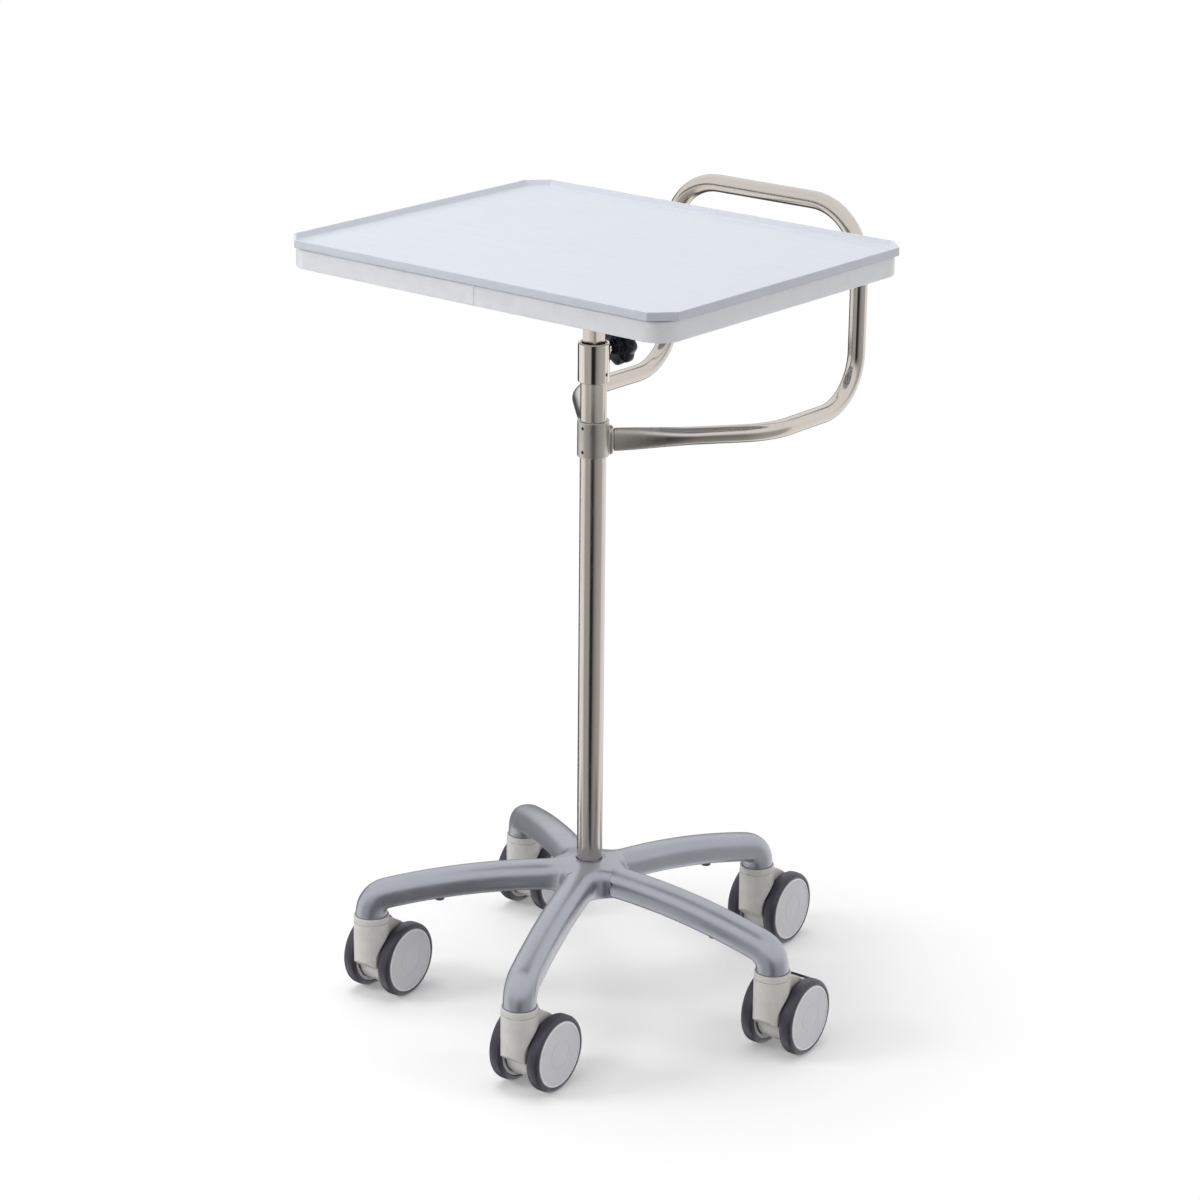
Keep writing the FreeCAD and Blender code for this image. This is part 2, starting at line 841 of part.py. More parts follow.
def hub_cover():
    return upright(hub_recess_radius, hub_bottom_z, hub_bottom_z + hub_cover_thickness)


# Casters, built with the stem on Z and trailing towards +Y

def stem_socket():
    return upright(stem_radius, socket_face_z, socket_face_z + stem_socket_depth, star_radius)


def caster_stem():
    return upright(stem_radius, stem_bottom_z, socket_face_z + stem_socket_depth)


def swivel_ring():
    return upright_tube(ring_radius, stem_radius, ring_bottom_z, socket_face_z)


def upper_bearing():
    low_z = upper_bearing_top_z - upper_bearing_height
    return upright_tube(upper_bearing_radius, stem_radius, low_z, upper_bearing_top_z)


def lower_bearing():
    top_z = stem_bottom_z + lower_bearing_height
    return upright_tube(lower_bearing_radius, stem_radius, stem_bottom_z, top_z)


def at_arm_ends(shape):
    """One copy of a stem-centred shape at each arm's end."""
    copies = []
    for angle in arm_angles():
        place = moved_point(vec(star_radius, 0, 0), angle)
        copies.append(moved(shape, place))
    return copies


def lower_circle_point(angle):
    """Point on the rounded lower body, at an angle up from the rear."""
    turn = math.radians(angle)
    centre = vec(0, caster_trail, wheel_radius)
    return centre + vec(0, math.cos(turn), math.sin(turn)) * caster_lower_radius


def housing_profile():
    """Side view of the body between the wheels, in the Y and Z plane."""
    shoulder = vec(0, shoulder_start, housing_top_z)
    crest = vec(0, shoulder_crest_y, shoulder_crest_z)
    rear = lower_circle_point(shoulder_end_angle)
    front = lower_circle_point(lower_front_angle)
    bottom = lower_circle_point(lower_front_angle + (360 + shoulder_end_angle - lower_front_angle) / 2)
    inside = vec(0, front.y, housing_top_z)
    edges = [Part.Arc(shoulder, crest, rear).toShape(),
             Part.Arc(rear, bottom, front).toShape(),
             Part.LineSegment(front, inside).toShape(),
             Part.LineSegment(inside, shoulder).toShape()]
    return Part.Face(Part.Wire(edges))


def caster_barrel():
    """Barrel round the stem, with an underside that slopes down to the lower body."""
    sides = [(-barrel_radius, barrel_front_z), (barrel_foot_y, barrel_bottom_z),
             (barrel_radius, barrel_bottom_z), (barrel_radius, housing_top_z),
             (-barrel_radius, housing_top_z)]
    barrel = upright(barrel_radius, barrel_bottom_z, housing_top_z)
    return barrel.common(side_prism(sides, 2 * barrel_radius))


def wheel_room(side):
    """Room for a wheel beside the body, open to the outside."""
    inner = side * caster_body_width / 2
    outer = side * wheel_outer_face
    room = wheel_radius + wheel_clearance
    return along_axle(room, min(inner, outer), max(inner, outer))


def caster_housing(braked):
    half = caster_body_width / 2
    body = housing_profile()
    body.translate(vec(-half, 0, 0))
    body = body.extrude(vec(caster_body_width, 0, 0))
    body = body.fuse(caster_barrel()).cut(wheel_room(1)).cut(wheel_room(-1))
    pocket_low = upper_bearing_top_z - upper_bearing_height - body_gap
    body = body.cut(upright(upper_bearing_radius + running_fit, pocket_low, housing_top_z))
    body = body.cut(upright(lower_bearing_radius + running_fit, stem_bottom_z - body_gap, pocket_low))
    body = body.cut(along_axle(axle_diameter / 2, -half, half))
    if braked:
        body = body.cut(pedal_pocket()).cut(pedal_pin())
    return body


def along_axle(radius, low_x, high_x):
    return Part.makeCylinder(radius, high_x - low_x, vec(low_x, caster_trail, wheel_radius), x_axis)


def caster_axle():
    end = wheel_outer_face - wheel_end_wall - axle_end_play
    return along_axle(axle_diameter / 2, -end, end)


def wheel_placed(profile_points, side):
    """Turn a wheel's section, given as distance out and radius, about the axle."""
    points = [vec(side * out, 0, radius) for out, radius in profile_points]
    wheel = turned(polygon_face(points), x_axis)
    wheel.translate(vec(0, caster_trail, wheel_radius))
    return wheel


def caster_wheel(side):
    """Rim, web and outer cap moulded in one."""
    inner = wheel_inner_face
    outer = wheel_outer_face
    bore = axle_diameter / 2 + running_fit
    web_inner = outer - wheel_web
    rim_inner = rim_radius - wheel_rim_thickness
    blind = outer - wheel_end_wall
    points = [(blind, 0), (blind, bore), (inner, bore), (inner, wheel_hub_radius),
              (web_inner, wheel_hub_radius), (web_inner, rim_inner),
              (inner + cap_step, rim_inner), (inner + cap_step, rim_radius),
              (outer - cap_step, rim_radius), (outer - cap_step, cap_radius),
              (outer, cap_radius - cap_step), (outer, cap_radius - 2 * cap_step),
              (outer - cap_step, cap_radius - 3 * cap_step),
              (outer - cap_step / 2, cap_centre_radius + cap_step),
              (outer - cap_step, cap_centre_radius), (outer - cap_step / 2, cap_centre_radius - cap_step),
              (outer, 0)]
    return wheel_placed(points, side)


def caster_tyre(side):
    inner = wheel_inner_face
    outer = wheel_outer_face - cap_step / 2
    low = rim_radius
    shoulder = tyre_shoulder
    high = wheel_radius - shoulder
    bend = shoulder * (1 - math.sqrt(0.5))

    def at(out, radius):
        return vec(side * out, 0, radius)

    edges = [Part.LineSegment(at(inner + cap_step, low), at(inner, low + cap_step)).toShape(),
             Part.LineSegment(at(inner, low + cap_step), at(inner, high)).toShape(),
             Part.Arc(at(inner, high), at(inner + bend, wheel_radius - bend),
                      at(inner + shoulder, wheel_radius)).toShape(),
             Part.LineSegment(at(inner + shoulder, wheel_radius),
                              at(outer - shoulder, wheel_radius)).toShape(),
             Part.Arc(at(outer - shoulder, wheel_radius), at(outer - bend, wheel_radius - bend),
                      at(outer, high)).toShape(),
             Part.LineSegment(at(outer, high), at(outer, low + cap_step / 2)).toShape(),
             Part.LineSegment(at(outer, low + cap_step / 2), at(outer - cap_step / 2, low)).toShape(),
             Part.LineSegment(at(outer - cap_step / 2, low), at(inner + cap_step, low)).toShape()]
    tyre = turned(Part.Face(Part.Wire(edges)), x_axis)
    tyre.translate(vec(0, caster_trail, wheel_radius))
    return tyre


# Brake pedal

def side_prism(points, width):
    """Extrude a side view, given in Y and Z, to both sides of the mid-plane."""
    face = polygon_face([vec(-width / 2, y, z) for y, z in points])
    return face.extrude(vec(width, 0, 0))


def across_pivot(radius, length):
    return Part.makeCylinder(radius, length, vec(-length / 2, pedal_pivot_y, pedal_pivot_z), x_axis)


def pedal_plate_points():
    slope = math.radians(pedal_slope)
    run = pedal_length * math.cos(slope)
    fall = pedal_length * math.sin(slope)
    rise = pedal_thickness / math.cos(slope)
    near_y = pedal_pivot_y + pedal_thickness / 2
    near_z = pedal_pivot_z + pedal_lift
    return [(near_y, near_z), (near_y + run, near_z - fall),
            (near_y + run, near_z - fall + rise), (near_y, near_z + rise)]


def brake_pedal():
    near, far = pedal_plate_points()[:2]
    plate = side_prism(pedal_plate_points(), pedal_width)
    half_plate = pedal_thickness / 2
    outer_y = near[0] + (far[0] - near[0]) / 3
    outer_z = near[1] + (far[1] - near[1]) / 3
    inset = pedal_hub_radius / 2
    link = side_prism([(pedal_pivot_y - inset, pedal_pivot_z + inset),
                       (pedal_pivot_y + inset, pedal_pivot_z - inset),
                       (outer_y, outer_z + half_plate),
                       (near[0], near[1] + half_plate)], pedal_link_width)
    hub = across_pivot(pedal_hub_radius, pedal_link_width)
    return plate.fuse(link).fuse(hub).cut(across_pivot(pedal_pin_radius + running_fit, pedal_width))


def pedal_pocket():
    """Slot in the housing's rear shoulder that the pedal's link works in."""
    clear = pedal_hub_radius + pedal_pocket_clearance
    low = vec(-pedal_link_width / 2 - body_gap, pedal_pivot_y - clear, pedal_pivot_z - clear)
    return Part.makeBox(pedal_link_width + 2 * body_gap, wheel_diameter, wheel_diameter, low)


def pedal_pin():
    return across_pivot(pedal_pin_radius, pedal_pin_length)


def write(name, shape):
    shape.exportStep("parts/" + name + ".step")


def write_on_base(name, shape):
    """Write a piece of the base after turning it with the star."""
    write(name, moved(shape, origin, base_turn))


def write_tray():
    write("tray_top", tray_top())
    write("tray_skirt", tray_skirt())
    write("tray_rails", tray_rails())
    write("mount_plate", mount_plate())
    write("mount_bolts", mount_bolts())
    write("mount_nuts", mount_nuts())
    write("inner_column", inner_column())
    write("column_guide", column_guide())


def write_mast():
    write("mast_tube", mast_tube())
    write("mast_bush", mast_bush())
    write("mast_plug", mast_plug())
    write("mast_washer", mast_washer())
    write("mast_bolt", mast_bolt())
    write("clamp_collar", clamp_collar())
    write("clamp_knob", clamp_knob())
    write("clamp_stud", clamp_stud())
    write("clamp_pad", clamp_pad())
    write("grub_screws", grub_screws())
    write("handle_collar", handle_collar())
    write("handle_tube", handle_tube())


def write_base():
    write_on_base("base_casting", base_casting())
    write_on_base("hub_cover", hub_cover())
    write_on_base("arm_plugs", arm_plugs())
    write_on_base("caster_stems", group(at_arm_ends(caster_stem())))
    write_on_base("swivel_rings", group(at_arm_ends(swivel_ring())))
    bearings = at_arm_ends(upper_bearing()) + at_arm_ends(lower_bearing())
    write_on_base("swivel_bearings", group(bearings))


def write_casters():
    axle = at_arm_ends(caster_axle())
    plain_housing = at_arm_ends(caster_housing(False))
    braked_housing = at_arm_ends(caster_housing(True))
    for index, name in enumerate(caster_names):
        housing = braked_housing if name == braked_caster else plain_housing
        write_on_base("caster_" + name + "_housing", housing[index])
        write_on_base("caster_" + name + "_axle", axle[index])
    for number, side in ((1, 1), (2, -1)):
        wheels = at_arm_ends(caster_wheel(side))
        tyres = at_arm_ends(caster_tyre(side))
        for index, name in enumerate(caster_names):
            write_on_base("caster_" + name + "_wheel_" + str(number), wheels[index])
            write_on_base("caster_" + name + "_tyre_" + str(number), tyres[index])
    place = caster_names.index(braked_caster)
    write_on_base("brake_pedal", at_arm_ends(brake_pedal())[place])
    write_on_base("brake_pin", at_arm_ends(pedal_pin())[place])


os.makedirs("parts", exist_ok=True)
write_tray()
write_mast()
write_base()
write_casters()
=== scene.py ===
import json
import math

import bmesh
import bpy
from bpy.props import FloatProperty, FloatVectorProperty, IntProperty, PointerProperty
from mathutils import Matrix, Vector

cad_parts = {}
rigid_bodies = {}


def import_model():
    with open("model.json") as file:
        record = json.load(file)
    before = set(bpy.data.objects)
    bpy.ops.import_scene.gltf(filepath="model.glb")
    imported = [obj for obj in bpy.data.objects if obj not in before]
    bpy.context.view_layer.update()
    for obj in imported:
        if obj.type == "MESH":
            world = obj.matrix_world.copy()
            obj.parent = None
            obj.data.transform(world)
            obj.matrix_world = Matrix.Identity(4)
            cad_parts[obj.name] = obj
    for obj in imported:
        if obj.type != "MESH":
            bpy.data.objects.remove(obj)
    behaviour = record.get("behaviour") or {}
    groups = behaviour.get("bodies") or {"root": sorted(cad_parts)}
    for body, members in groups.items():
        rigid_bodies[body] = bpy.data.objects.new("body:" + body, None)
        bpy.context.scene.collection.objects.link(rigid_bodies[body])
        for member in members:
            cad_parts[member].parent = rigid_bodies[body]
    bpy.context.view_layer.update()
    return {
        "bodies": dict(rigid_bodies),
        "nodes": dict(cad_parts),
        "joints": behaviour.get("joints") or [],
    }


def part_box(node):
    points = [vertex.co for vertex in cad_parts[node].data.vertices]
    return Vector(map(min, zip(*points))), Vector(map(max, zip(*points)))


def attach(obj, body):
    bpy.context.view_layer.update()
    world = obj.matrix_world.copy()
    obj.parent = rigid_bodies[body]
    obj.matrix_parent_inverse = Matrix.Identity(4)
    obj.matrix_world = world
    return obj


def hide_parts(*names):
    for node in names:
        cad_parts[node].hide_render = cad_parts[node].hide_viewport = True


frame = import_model()

bl_info = {
    "name": "Procedure cart",
    "version": (1, 0, 0),
    "blender": (4, 5, 0),
    "location": "3D View > Sidebar > Cart",
    "description": "Finished pieces, materials, light and camera for a tray cart on a star base",
    "category": "Object",
}

# Sizes are in metres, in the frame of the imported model
mm = 0.001
merge_distance = 0.001 * mm
upright = Matrix.Identity(4)

nodes = frame["nodes"]
joints = {joint["name"]: joint for joint in frame["joints"]}
caster_names = [name for name in frame["bodies"]
                if name.startswith("caster_") and "_wheel_" not in name]


def length(name, description, default):
    return FloatProperty(name=name, description=description, default=default, unit="LENGTH")


def turn(name, description, degrees):
    return FloatProperty(name=name, description=description, default=math.radians(degrees),
                         unit="ROTATION")


def share(name, description, default):
    return FloatProperty(name=name, description=description, default=default, min=0.0, max=1.0,
                         subtype="FACTOR")


def plain(name, description, default):
    return FloatProperty(name=name, description=description, default=default)


def colour(name, description, default):
    return FloatVectorProperty(name=name, description=description, default=default,
                               subtype="COLOR", min=0.0, max=1.0)


class TrayLooks(bpy.types.PropertyGroup):
    corner_leg: length("Corner cut", "Length cut off each way at the tray's corners", 25 * mm)
    corner_round: length("Corner round", "Radius on the upright edges of the tray's cut corners", 1.6 * mm)
    lip_top_width: length("Rim width", "Width of the rim's flat top", 2.5 * mm)
    lip_height: length("Rim height", "Height of the rim's upright outer face", 10 * mm)
    lip_slope_run: length("Rim slope", "Run of the slope from the rim down to the floor", 4 * mm)
    well_depth: length("Well depth", "Depth of the tray's floor below its rim", 7 * mm)
    edge_round: length("Edge round", "Radius on the rim's outer edges", 0.8 * mm)
    floor_round: length("Floor round", "Radius where the slope meets the floor", 2.4 * mm)
    skirt_corner_radius: length("Skirt corner", "Radius of the skirt frame's corners", 29 * mm)
    skirt_fold: length("Skirt fold", "Outer radius of the skirt's folded edges", 2.2 * mm)
    skirt_sheet: length("Skirt sheet", "Thickness of the skirt's sheet", 2 * mm)
    skirt_flange: length("Skirt flange", "Width of the skirt's flanges", 16 * mm)
    seam_x: length("Seam place", "Place of the skirt's butt seam along the front", 12 * mm)
    seam_width: length("Seam width", "Width of the skirt's butt seam", 0.7 * mm)
    white: colour("Tray colour", "Powder coat of the tray", (0.525, 0.55, 0.60))
    grey: colour("Skirt colour", "Powder coat of the skirt frame", (0.66, 0.675, 0.70))


class MetalLooks(bpy.types.PropertyGroup):
    steel: colour("Stainless steel", "Brushed stainless tube", (0.56, 0.525, 0.49))
    # Darker tone of the painted reflection bands along the tube, and of its duller handling patches
    steel_dark: colour("Stainless shade", "Duller patches of the stainless tube", (0.47, 0.435, 0.40))
    collar: colour("Satin collar", "Satin cast handle collar", (0.46, 0.44, 0.41))
    zinc: colour("Zinc", "Plated small steel pieces", (0.60, 0.60, 0.58))
    line_scale: plain("Brush lines", "Number of brush lines across a metre of tube", 900.0)


class ClampLooks(bpy.types.PropertyGroup):
    chamfer: length("Sleeve chamfer", "Chamfer on the clamp sleeve's ends", 1 * mm)
    boss_radius: length("Boss radius", "Radius of the knob's boss", 9 * mm)
    boss_reach: length("Boss reach", "Reach of the knob's boss from the mast axis", 26 * mm)
    lobes: IntProperty(name="Knob lobes", description="Number of lobes on the hand knob", default=8)
    lobe_depth: length("Lobe depth", "Depth of the hollows between the knob's lobes", 3 * mm)
    black: colour("Knob black", "Moulded black of knob and pedal", (0.006, 0.007, 0.012))


class HandleLooks(bpy.types.PropertyGroup):
    half_span: length("Half span", "Half the distance between the handle's uprights", 148 * mm)
    right_knee: length("Right knee", "Distance behind the mast of the right arm's corner", 162 * mm)
    left_knee: length("Left knee", "Distance behind the mast of the left arm's corner", 150 * mm)
    knee_radius: length("Knee radius", "Bend radius at the arms' outer corners", 90 * mm)
    rise_radius: length("Rise radius", "Bend radius where the arms turn up", 67 * mm)
    top_radius: length("Top radius", "Bend radius at the top bar's ends", 74 * mm)
    root_height: length("Root height", "Height of the flattened roots", 29 * mm)
    root_thickness: length("Root thickness", "Thickness of the flattened roots", 10 * mm)
    taper_length: length("Taper", "Length of tube over which the root turns round", 105 * mm)
    collar_wall: length("Collar wall", "Thickness of the collar round the mast", 3.5 * mm)
    boss_height: length("Boss height", "Height of the collar's arm bosses", 36 * mm)
    boss_width: length("Boss width", "Width of the collar's arm bosses", 15 * mm)
    boss_reach: length("Boss reach", "Reach of the arm bosses from the mast axis", 24 * mm)
    root_drop: length("Root drop", "Drop of the arms' roots below the collar's middle", 3.2 * mm)


class BaseLooks(bpy.types.PropertyGroup):
    arm_width: length("Arm width", "Width of a star arm", 40 * mm)
    arm_height: length("Arm height", "Height of a star arm", 36 * mm)
    arm_drop: length("Arm drop", "Fall of an arm from hub to elbow", 27 * mm)
    arm_root_reach: length("Root reach", "Distance out at which an arm starts to fall", 40 * mm)
    elbow_run: length("Elbow run", "Distance from the elbow's start to the caster axis", 20 * mm)
    socket_radius: length("Socket radius", "Radius of the arm's end above the caster", 20.3 * mm)
    top_form: plain("Top form", "Squareness of the arm's upper half", 2.3)
    bottom_form: plain("Bottom form", "Squareness of the arm's lower half", 3.2)
    web_radius: length("Web radius", "Hollow radius between two arms", 16 * mm)
    crest_radius: length("Hub crest", "Radius of the hub's top edge between two arms", 27 * mm)
    flat_radius: length("Hub flat", "Radius of the hub's flat top", 22 * mm)
    silver: colour("Silver coat", "Metallic silver coat of the base", (0.345, 0.36, 0.406))


class CasterLooks(bpy.types.PropertyGroup):
    trail: length("Trail", "Distance of the axle behind the stem", 33 * mm)
    wheel_radius: length("Wheel radius", "Rolling radius of the wheels", 48.5 * mm)
    rim_radius: length("Rim radius", "Radius of the wheel inside its tyre", 41.5 * mm)
    inner_face: length("Wheel inner face", "Distance of a wheel's inner face from the middle", 19 * mm)
    outer_face: length("Wheel outer face", "Distance of a wheel's outer face from the middle", 37 * mm)
    tyre_shoulder: length("Tyre shoulder", "Radius of the tyre's shoulders", 5 * mm)
    body_width: length("Body width", "Width of the housing between the wheels", 36 * mm)
    body_edge: length("Body edge", "Round on the edges of the housing", 1.6 * mm)
    lower_radius: length("Lower radius", "Radius of the housing's round lower body", 37 * mm)
    shoulder_y: length("Shoulder start", "Distance behind the stem where the shoulder starts", 20 * mm)
    crest_y: length("Shoulder crest", "Distance behind the stem of a point on the shoulder", 46 * mm)
    crest_z: length("Shoulder height", "Height of that point on the shoulder", 90.5 * mm)
    barrel_radius: length("Barrel radius", "Radius of the housing round the stem", 23 * mm)
    barrel_front: length("Barrel front", "Height of the barrel's lower edge in front", 57 * mm)
    barrel_foot: length("Barrel foot", "Height of the barrel's lower edge at the lower body", 40 * mm)
    foot_inset: length("Foot inset", "Run of the barrel's level foot inside the lower body", 2.3 * mm)
    wheel_clearance: length("Wheel clearance", "Room round the wheels cut in the barrel", 1.5 * mm)
    pedal_slope: turn("Pedal slope", "Fall of the brake pedal's plate to the rear", 28)
    pedal_length: length("Pedal length", "Length of the brake pedal's plate", 22 * mm)
    pedal_width: length("Pedal width", "Width of the brake pedal's plate", 35 * mm)
    grey: colour("Housing grey", "Moulded grey of the housings", (0.57, 0.555, 0.535))
    cap: colour("Hub cap", "Moulded grey of the wheel faces", (0.60, 0.59, 0.625))
    # Painted highlight: pale colour painted on the raised ring round each wheel face
    cap_rim: colour("Hub cap rim", "Raised ring round the wheel faces", (0.84, 0.84, 0.86))
    tyre: colour("Tyre", "Polyurethane of the tyres", (0.031, 0.029, 0.045))


class StageLooks(bpy.types.PropertyGroup):
    azimuth: turn("Azimuth", "Direction that the camera looks from", 39.490)
    elevation: turn("Elevation", "Height of the camera above the horizon", 19.565)
    roll: turn("Roll", "Turn of the picture about its centre", 0.515)
    distance: length("Distance", "Distance of the camera from its target", 4003.81 * mm)
    target_height: length("Target height", "Height of the point that the camera turns about", 500 * mm)
    lens: plain("Lens", "Focal length in millimetres on a 36 mm sensor", 97.206)
    shift_x: plain("Shift right", "Sideways shift of the picture", 0.00715)
    shift_y: plain("Shift up", "Upward shift of the picture", 0.02552)
    room: share("Room light", "Level of the light from all round", 0.50)
    floor_lift: share("Floor lift", "Glow that takes the lit floor up to white", 0.20)
    fade_start: length("Fade start", "Distance from the mast where the floor starts to turn plain white",
                       270 * mm)
    fade_end: length("Fade end", "Distance from the mast where the floor is plain white", 680 * mm)


class BandLooks(bpy.types.PropertyGroup):
    warmth: share("Warmth", "How much green is left in the reflected room", 0.985)
    peak: plain("Window", "Highest level in the reflected room", 1.4)
    ceiling: plain("Ceiling", "Level of the reflected ceiling", 1.25)
    ceiling_start: turn("Ceiling start", "Height above the horizon where the ceiling starts to show", -4)
    ceiling_full: turn("Ceiling full", "Height above the horizon where only the ceiling shows", 20)
    light: plain("Light screen", "Level of the light screens", 1.30)
    wall: plain("Wall", "Level of the walls between the screens", 0.60)
    shade: plain("Shade", "Level of the dim side of the room", 0.12)
    dark: plain("Dark screen", "Level of the dark screen in front", 0.03)


# Outlines and mesh building

def rounded(corners, closed, arc_steps=4):
    """Outline through corners of (u, v, radius), with each corner turned into an arc."""
    points = []
    count = len(corners)
    for index, (u, v, radius) in enumerate(corners):
        corner = Vector((u, v))
        at_end = not closed and index in (0, count - 1)
        if radius == 0 or at_end:
            points.append(corner)
            continue
        before = (Vector(corners[index - 1][:2]) - corner).normalized()
        after = (Vector(corners[(index + 1) % count][:2]) - corner).normalized()
        half = before.angle(after) / 2
        centre = corner + (before + after).normalized() * radius / math.sin(half)
        first = corner + before * radius / math.tan(half) - centre
        last = corner + after * radius / math.tan(half) - centre
        sweep = math.copysign(math.pi - 2 * half, first.cross(last))
        for step in range(arc_steps + 1):
            points.append(centre + Matrix.Rotation(sweep * step / arc_steps, 2) @ first)
    return points


def turned(corners, place, steps=96, arc_steps=4):
    """Shape turned about Z from an outline of (radius, height, corner radius), then put in place."""
    closed = corners[0][0] > 0
    bm = bmesh.new()
    points = rounded(corners, closed, arc_steps)
    verts = [bm.verts.new((point.x, 0, point.y)) for point in points]
    pairs = list(zip(verts, verts[1:]))
    if closed:
        pairs.append((verts[-1], verts[0]))
    edges = [bm.edges.new(pair) for pair in pairs]
    bmesh.ops.spin(bm, geom=verts + edges, cent=(0, 0, 0), axis=(0, 0, 1), angle=2 * math.pi,
                   steps=steps, use_merge=True)
    tidy_faces(bm)
    bmesh.ops.transform(bm, matrix=place, verts=bm.verts[:])
    return bm


def tidy_faces(bm):
    bmesh.ops.remove_doubles(bm, verts=bm.verts[:], dist=merge_distance)
    bmesh.ops.recalc_face_normals(bm, faces=bm.faces[:])


def extruded(bm, row, edges, places):
    """Extrude a row of edges once and move the new row to its places."""
    made = bmesh.ops.extrude_edge_only(bm, edges=edges)["geom"]
    fresh = {item for item in made if isinstance(item, bmesh.types.BMVert)}
    following = []
    for vert, place in zip(row, places):
        twin = next(edge.other_vert(vert) for edge in vert.link_edges if edge.other_vert(vert) in fresh)
        twin.co = place
        following.append(twin)
    new_edges = [item for item in made if isinstance(item, bmesh.types.BMEdge)
                 and item.verts[0] in fresh and item.verts[1] in fresh]
    return following, new_edges


def skinned(sections, closed=False):
    """Closed skin over a row of loops with equal counts."""
    bm = bmesh.new()
    row = [bm.verts.new(point) for point in sections[0]]
    edges = [bm.edges.new(pair) for pair in zip(row, row[1:] + row[:1])]
    first_edges = list(edges)
    if not closed:
        bmesh.ops.contextual_create(bm, geom=edges)
    for section in sections[1:]:
        row, edges = extruded(bm, row, edges, section)
    if closed:
        bmesh.ops.bridge_loops(bm, edges=edges + first_edges)
    else:
        bmesh.ops.contextual_create(bm, geom=edges)
    tidy_faces(bm)
    return bm


def held(bm):
    """Object that holds a shape while modifiers work on it."""
    mesh = bpy.data.meshes.new("shape")
    bm.to_mesh(mesh)
    bm.free()
    holder = bpy.data.objects.new("shape", mesh)
    bpy.context.scene.collection.objects.link(holder)
    return holder


def let_go(holder):
    mesh = holder.data
    bpy.data.objects.remove(holder)
    bpy.data.meshes.remove(mesh)


def worked(bm, *modifiers):
    """Shape after a row of modifiers, each given as its kind and its values."""
    holder = held(bm)
    for kind, values in modifiers:
        modifier = holder.modifiers.new(kind.lower(), kind)
        for name, value in values.items():
            setattr(modifier, name, value)
    result = bmesh.new()
    result.from_object(holder, bpy.context.evaluated_depsgraph_get())
    let_go(holder)
    return result


def joined(first, second, operation="UNION"):
    """One shape from two closed ones, added together or cut one from the other."""
    tool = held(second)
    result = worked(first, ("BOOLEAN", {"operation": operation, "solver": "EXACT", "object": tool}))
    let_go(tool)
    return result


def softened(bm, voxel, rounds):
    """Cast form: one skin over joined shapes, with its edges and inner corners smoothed."""
    return worked(bm, ("REMESH", {"mode": "VOXEL", "voxel_size": voxel, "use_smooth_shade": True}),
                  ("SMOOTH", {"factor": 0.5, "iterations": rounds}))


def subdivided(bm, levels):
    return worked(bm, ("SUBSURF", {"levels": levels, "render_levels": levels}))


def piece(bm, name, body, material, stands_for, sharp=35):
    """Finished object from a shape: smooth shaded, riding on its body, standing for its CAD nodes."""
    tidy_faces(bm)
    mesh = bpy.data.meshes.new(name)
    bm.to_mesh(mesh)
    bm.free()
    mesh.materials.clear()
    mesh.materials.append(material)
    mesh.shade_smooth()
    mesh.set_sharp_from_angle(angle=math.radians(sharp))
    made = bpy.data.objects.new(name, mesh)
    bpy.context.scene.collection.objects.link(made)
    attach(made, body)
    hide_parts(*stands_for)
    return made


def coat(material, *names):
    """Give CAD nodes that stay in view their material."""
    for name in names:
        mesh = nodes[name].data
        mesh.materials.clear()
        mesh.materials.append(material)


def middle_height(node):
    low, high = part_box(node)
    return (low.z + high.z) / 2


def along_y(z):
    """Place that lays a turned shape's axis along +Y at a height."""
    return Matrix.Translation((0, 0, z)) @ Matrix.Rotation(-math.pi / 2, 4, "X")


def along_x(y, z, side):
    """Place that lays a turned shape's axis along X, to one side."""
    return Matrix.Translation((0, y, z)) @ Matrix.Rotation(side * math.pi / 2, 4, "Y")


def signed_power(value, power):
    return math.copysign(abs(value) ** power, value)


def oval(centre, side, up, half_width, half_height, top_form=2.0, bottom_form=2.0, count=24):
    """Oval loop; a form of 2 is an ellipse and a larger form is squarer."""
    points = []
    for step in range(count):
        angle = 2 * math.pi * step / count
        form = top_form if math.sin(angle) >= 0 else bottom_form
        across = half_width * signed_power(math.cos(angle), 2 / form)
        rise = half_height * signed_power(math.sin(angle), 2 / form)
        points.append(centre + side * across + up * rise)
    return points


def swell(count):
    """Factor by which a loop of so many points is drawn larger, so that it subdivides to size."""
    return 6 / (4 + 2 * math.cos(2 * math.pi / count))


def smooth_share(value):
    return value * value * (3 - 2 * value)


def box_shape(low, high):
    """Block between two corners."""
    bm = bmesh.new()
    bmesh.ops.create_cube(bm, size=1)
    size = Vector(high) - Vector(low)
    bmesh.ops.scale(bm, vec=size, verts=bm.verts[:])
    bmesh.ops.translate(bm, vec=(Vector(low) + Vector(high)) / 2, verts=bm.verts[:])
    return bm


# Shader node groups

def node_group(name, inputs, outputs):
    """Empty shader node group with named value inputs and outputs."""
    group = bpy.data.node_groups.new(name, "ShaderNodeTree")
    for label, default in inputs:
        socket = group.interface.new_socket(label, in_out="INPUT", socket_type="NodeSocketFloat")
        socket.default_value = default
    for label in outputs:
        group.interface.new_socket(label, in_out="OUTPUT", socket_type="NodeSocketFloat")
    return group, group.nodes.new("NodeGroupInput"), group.nodes.new("NodeGroupOutput")


def shader_node(tree, kind, inputs, **settings):
    """Shader node with its settings made, and each named input given a value or linked to a socket."""
    node = tree.nodes.new(kind)
    for name, value in settings.items():
        setattr(node, name, value)
    for label, value in inputs.items():
        if isinstance(value, bpy.types.NodeSocket):
            tree.links.new(value, node.inputs[label])
        else:
            node.inputs[label].default_value = value
    return node


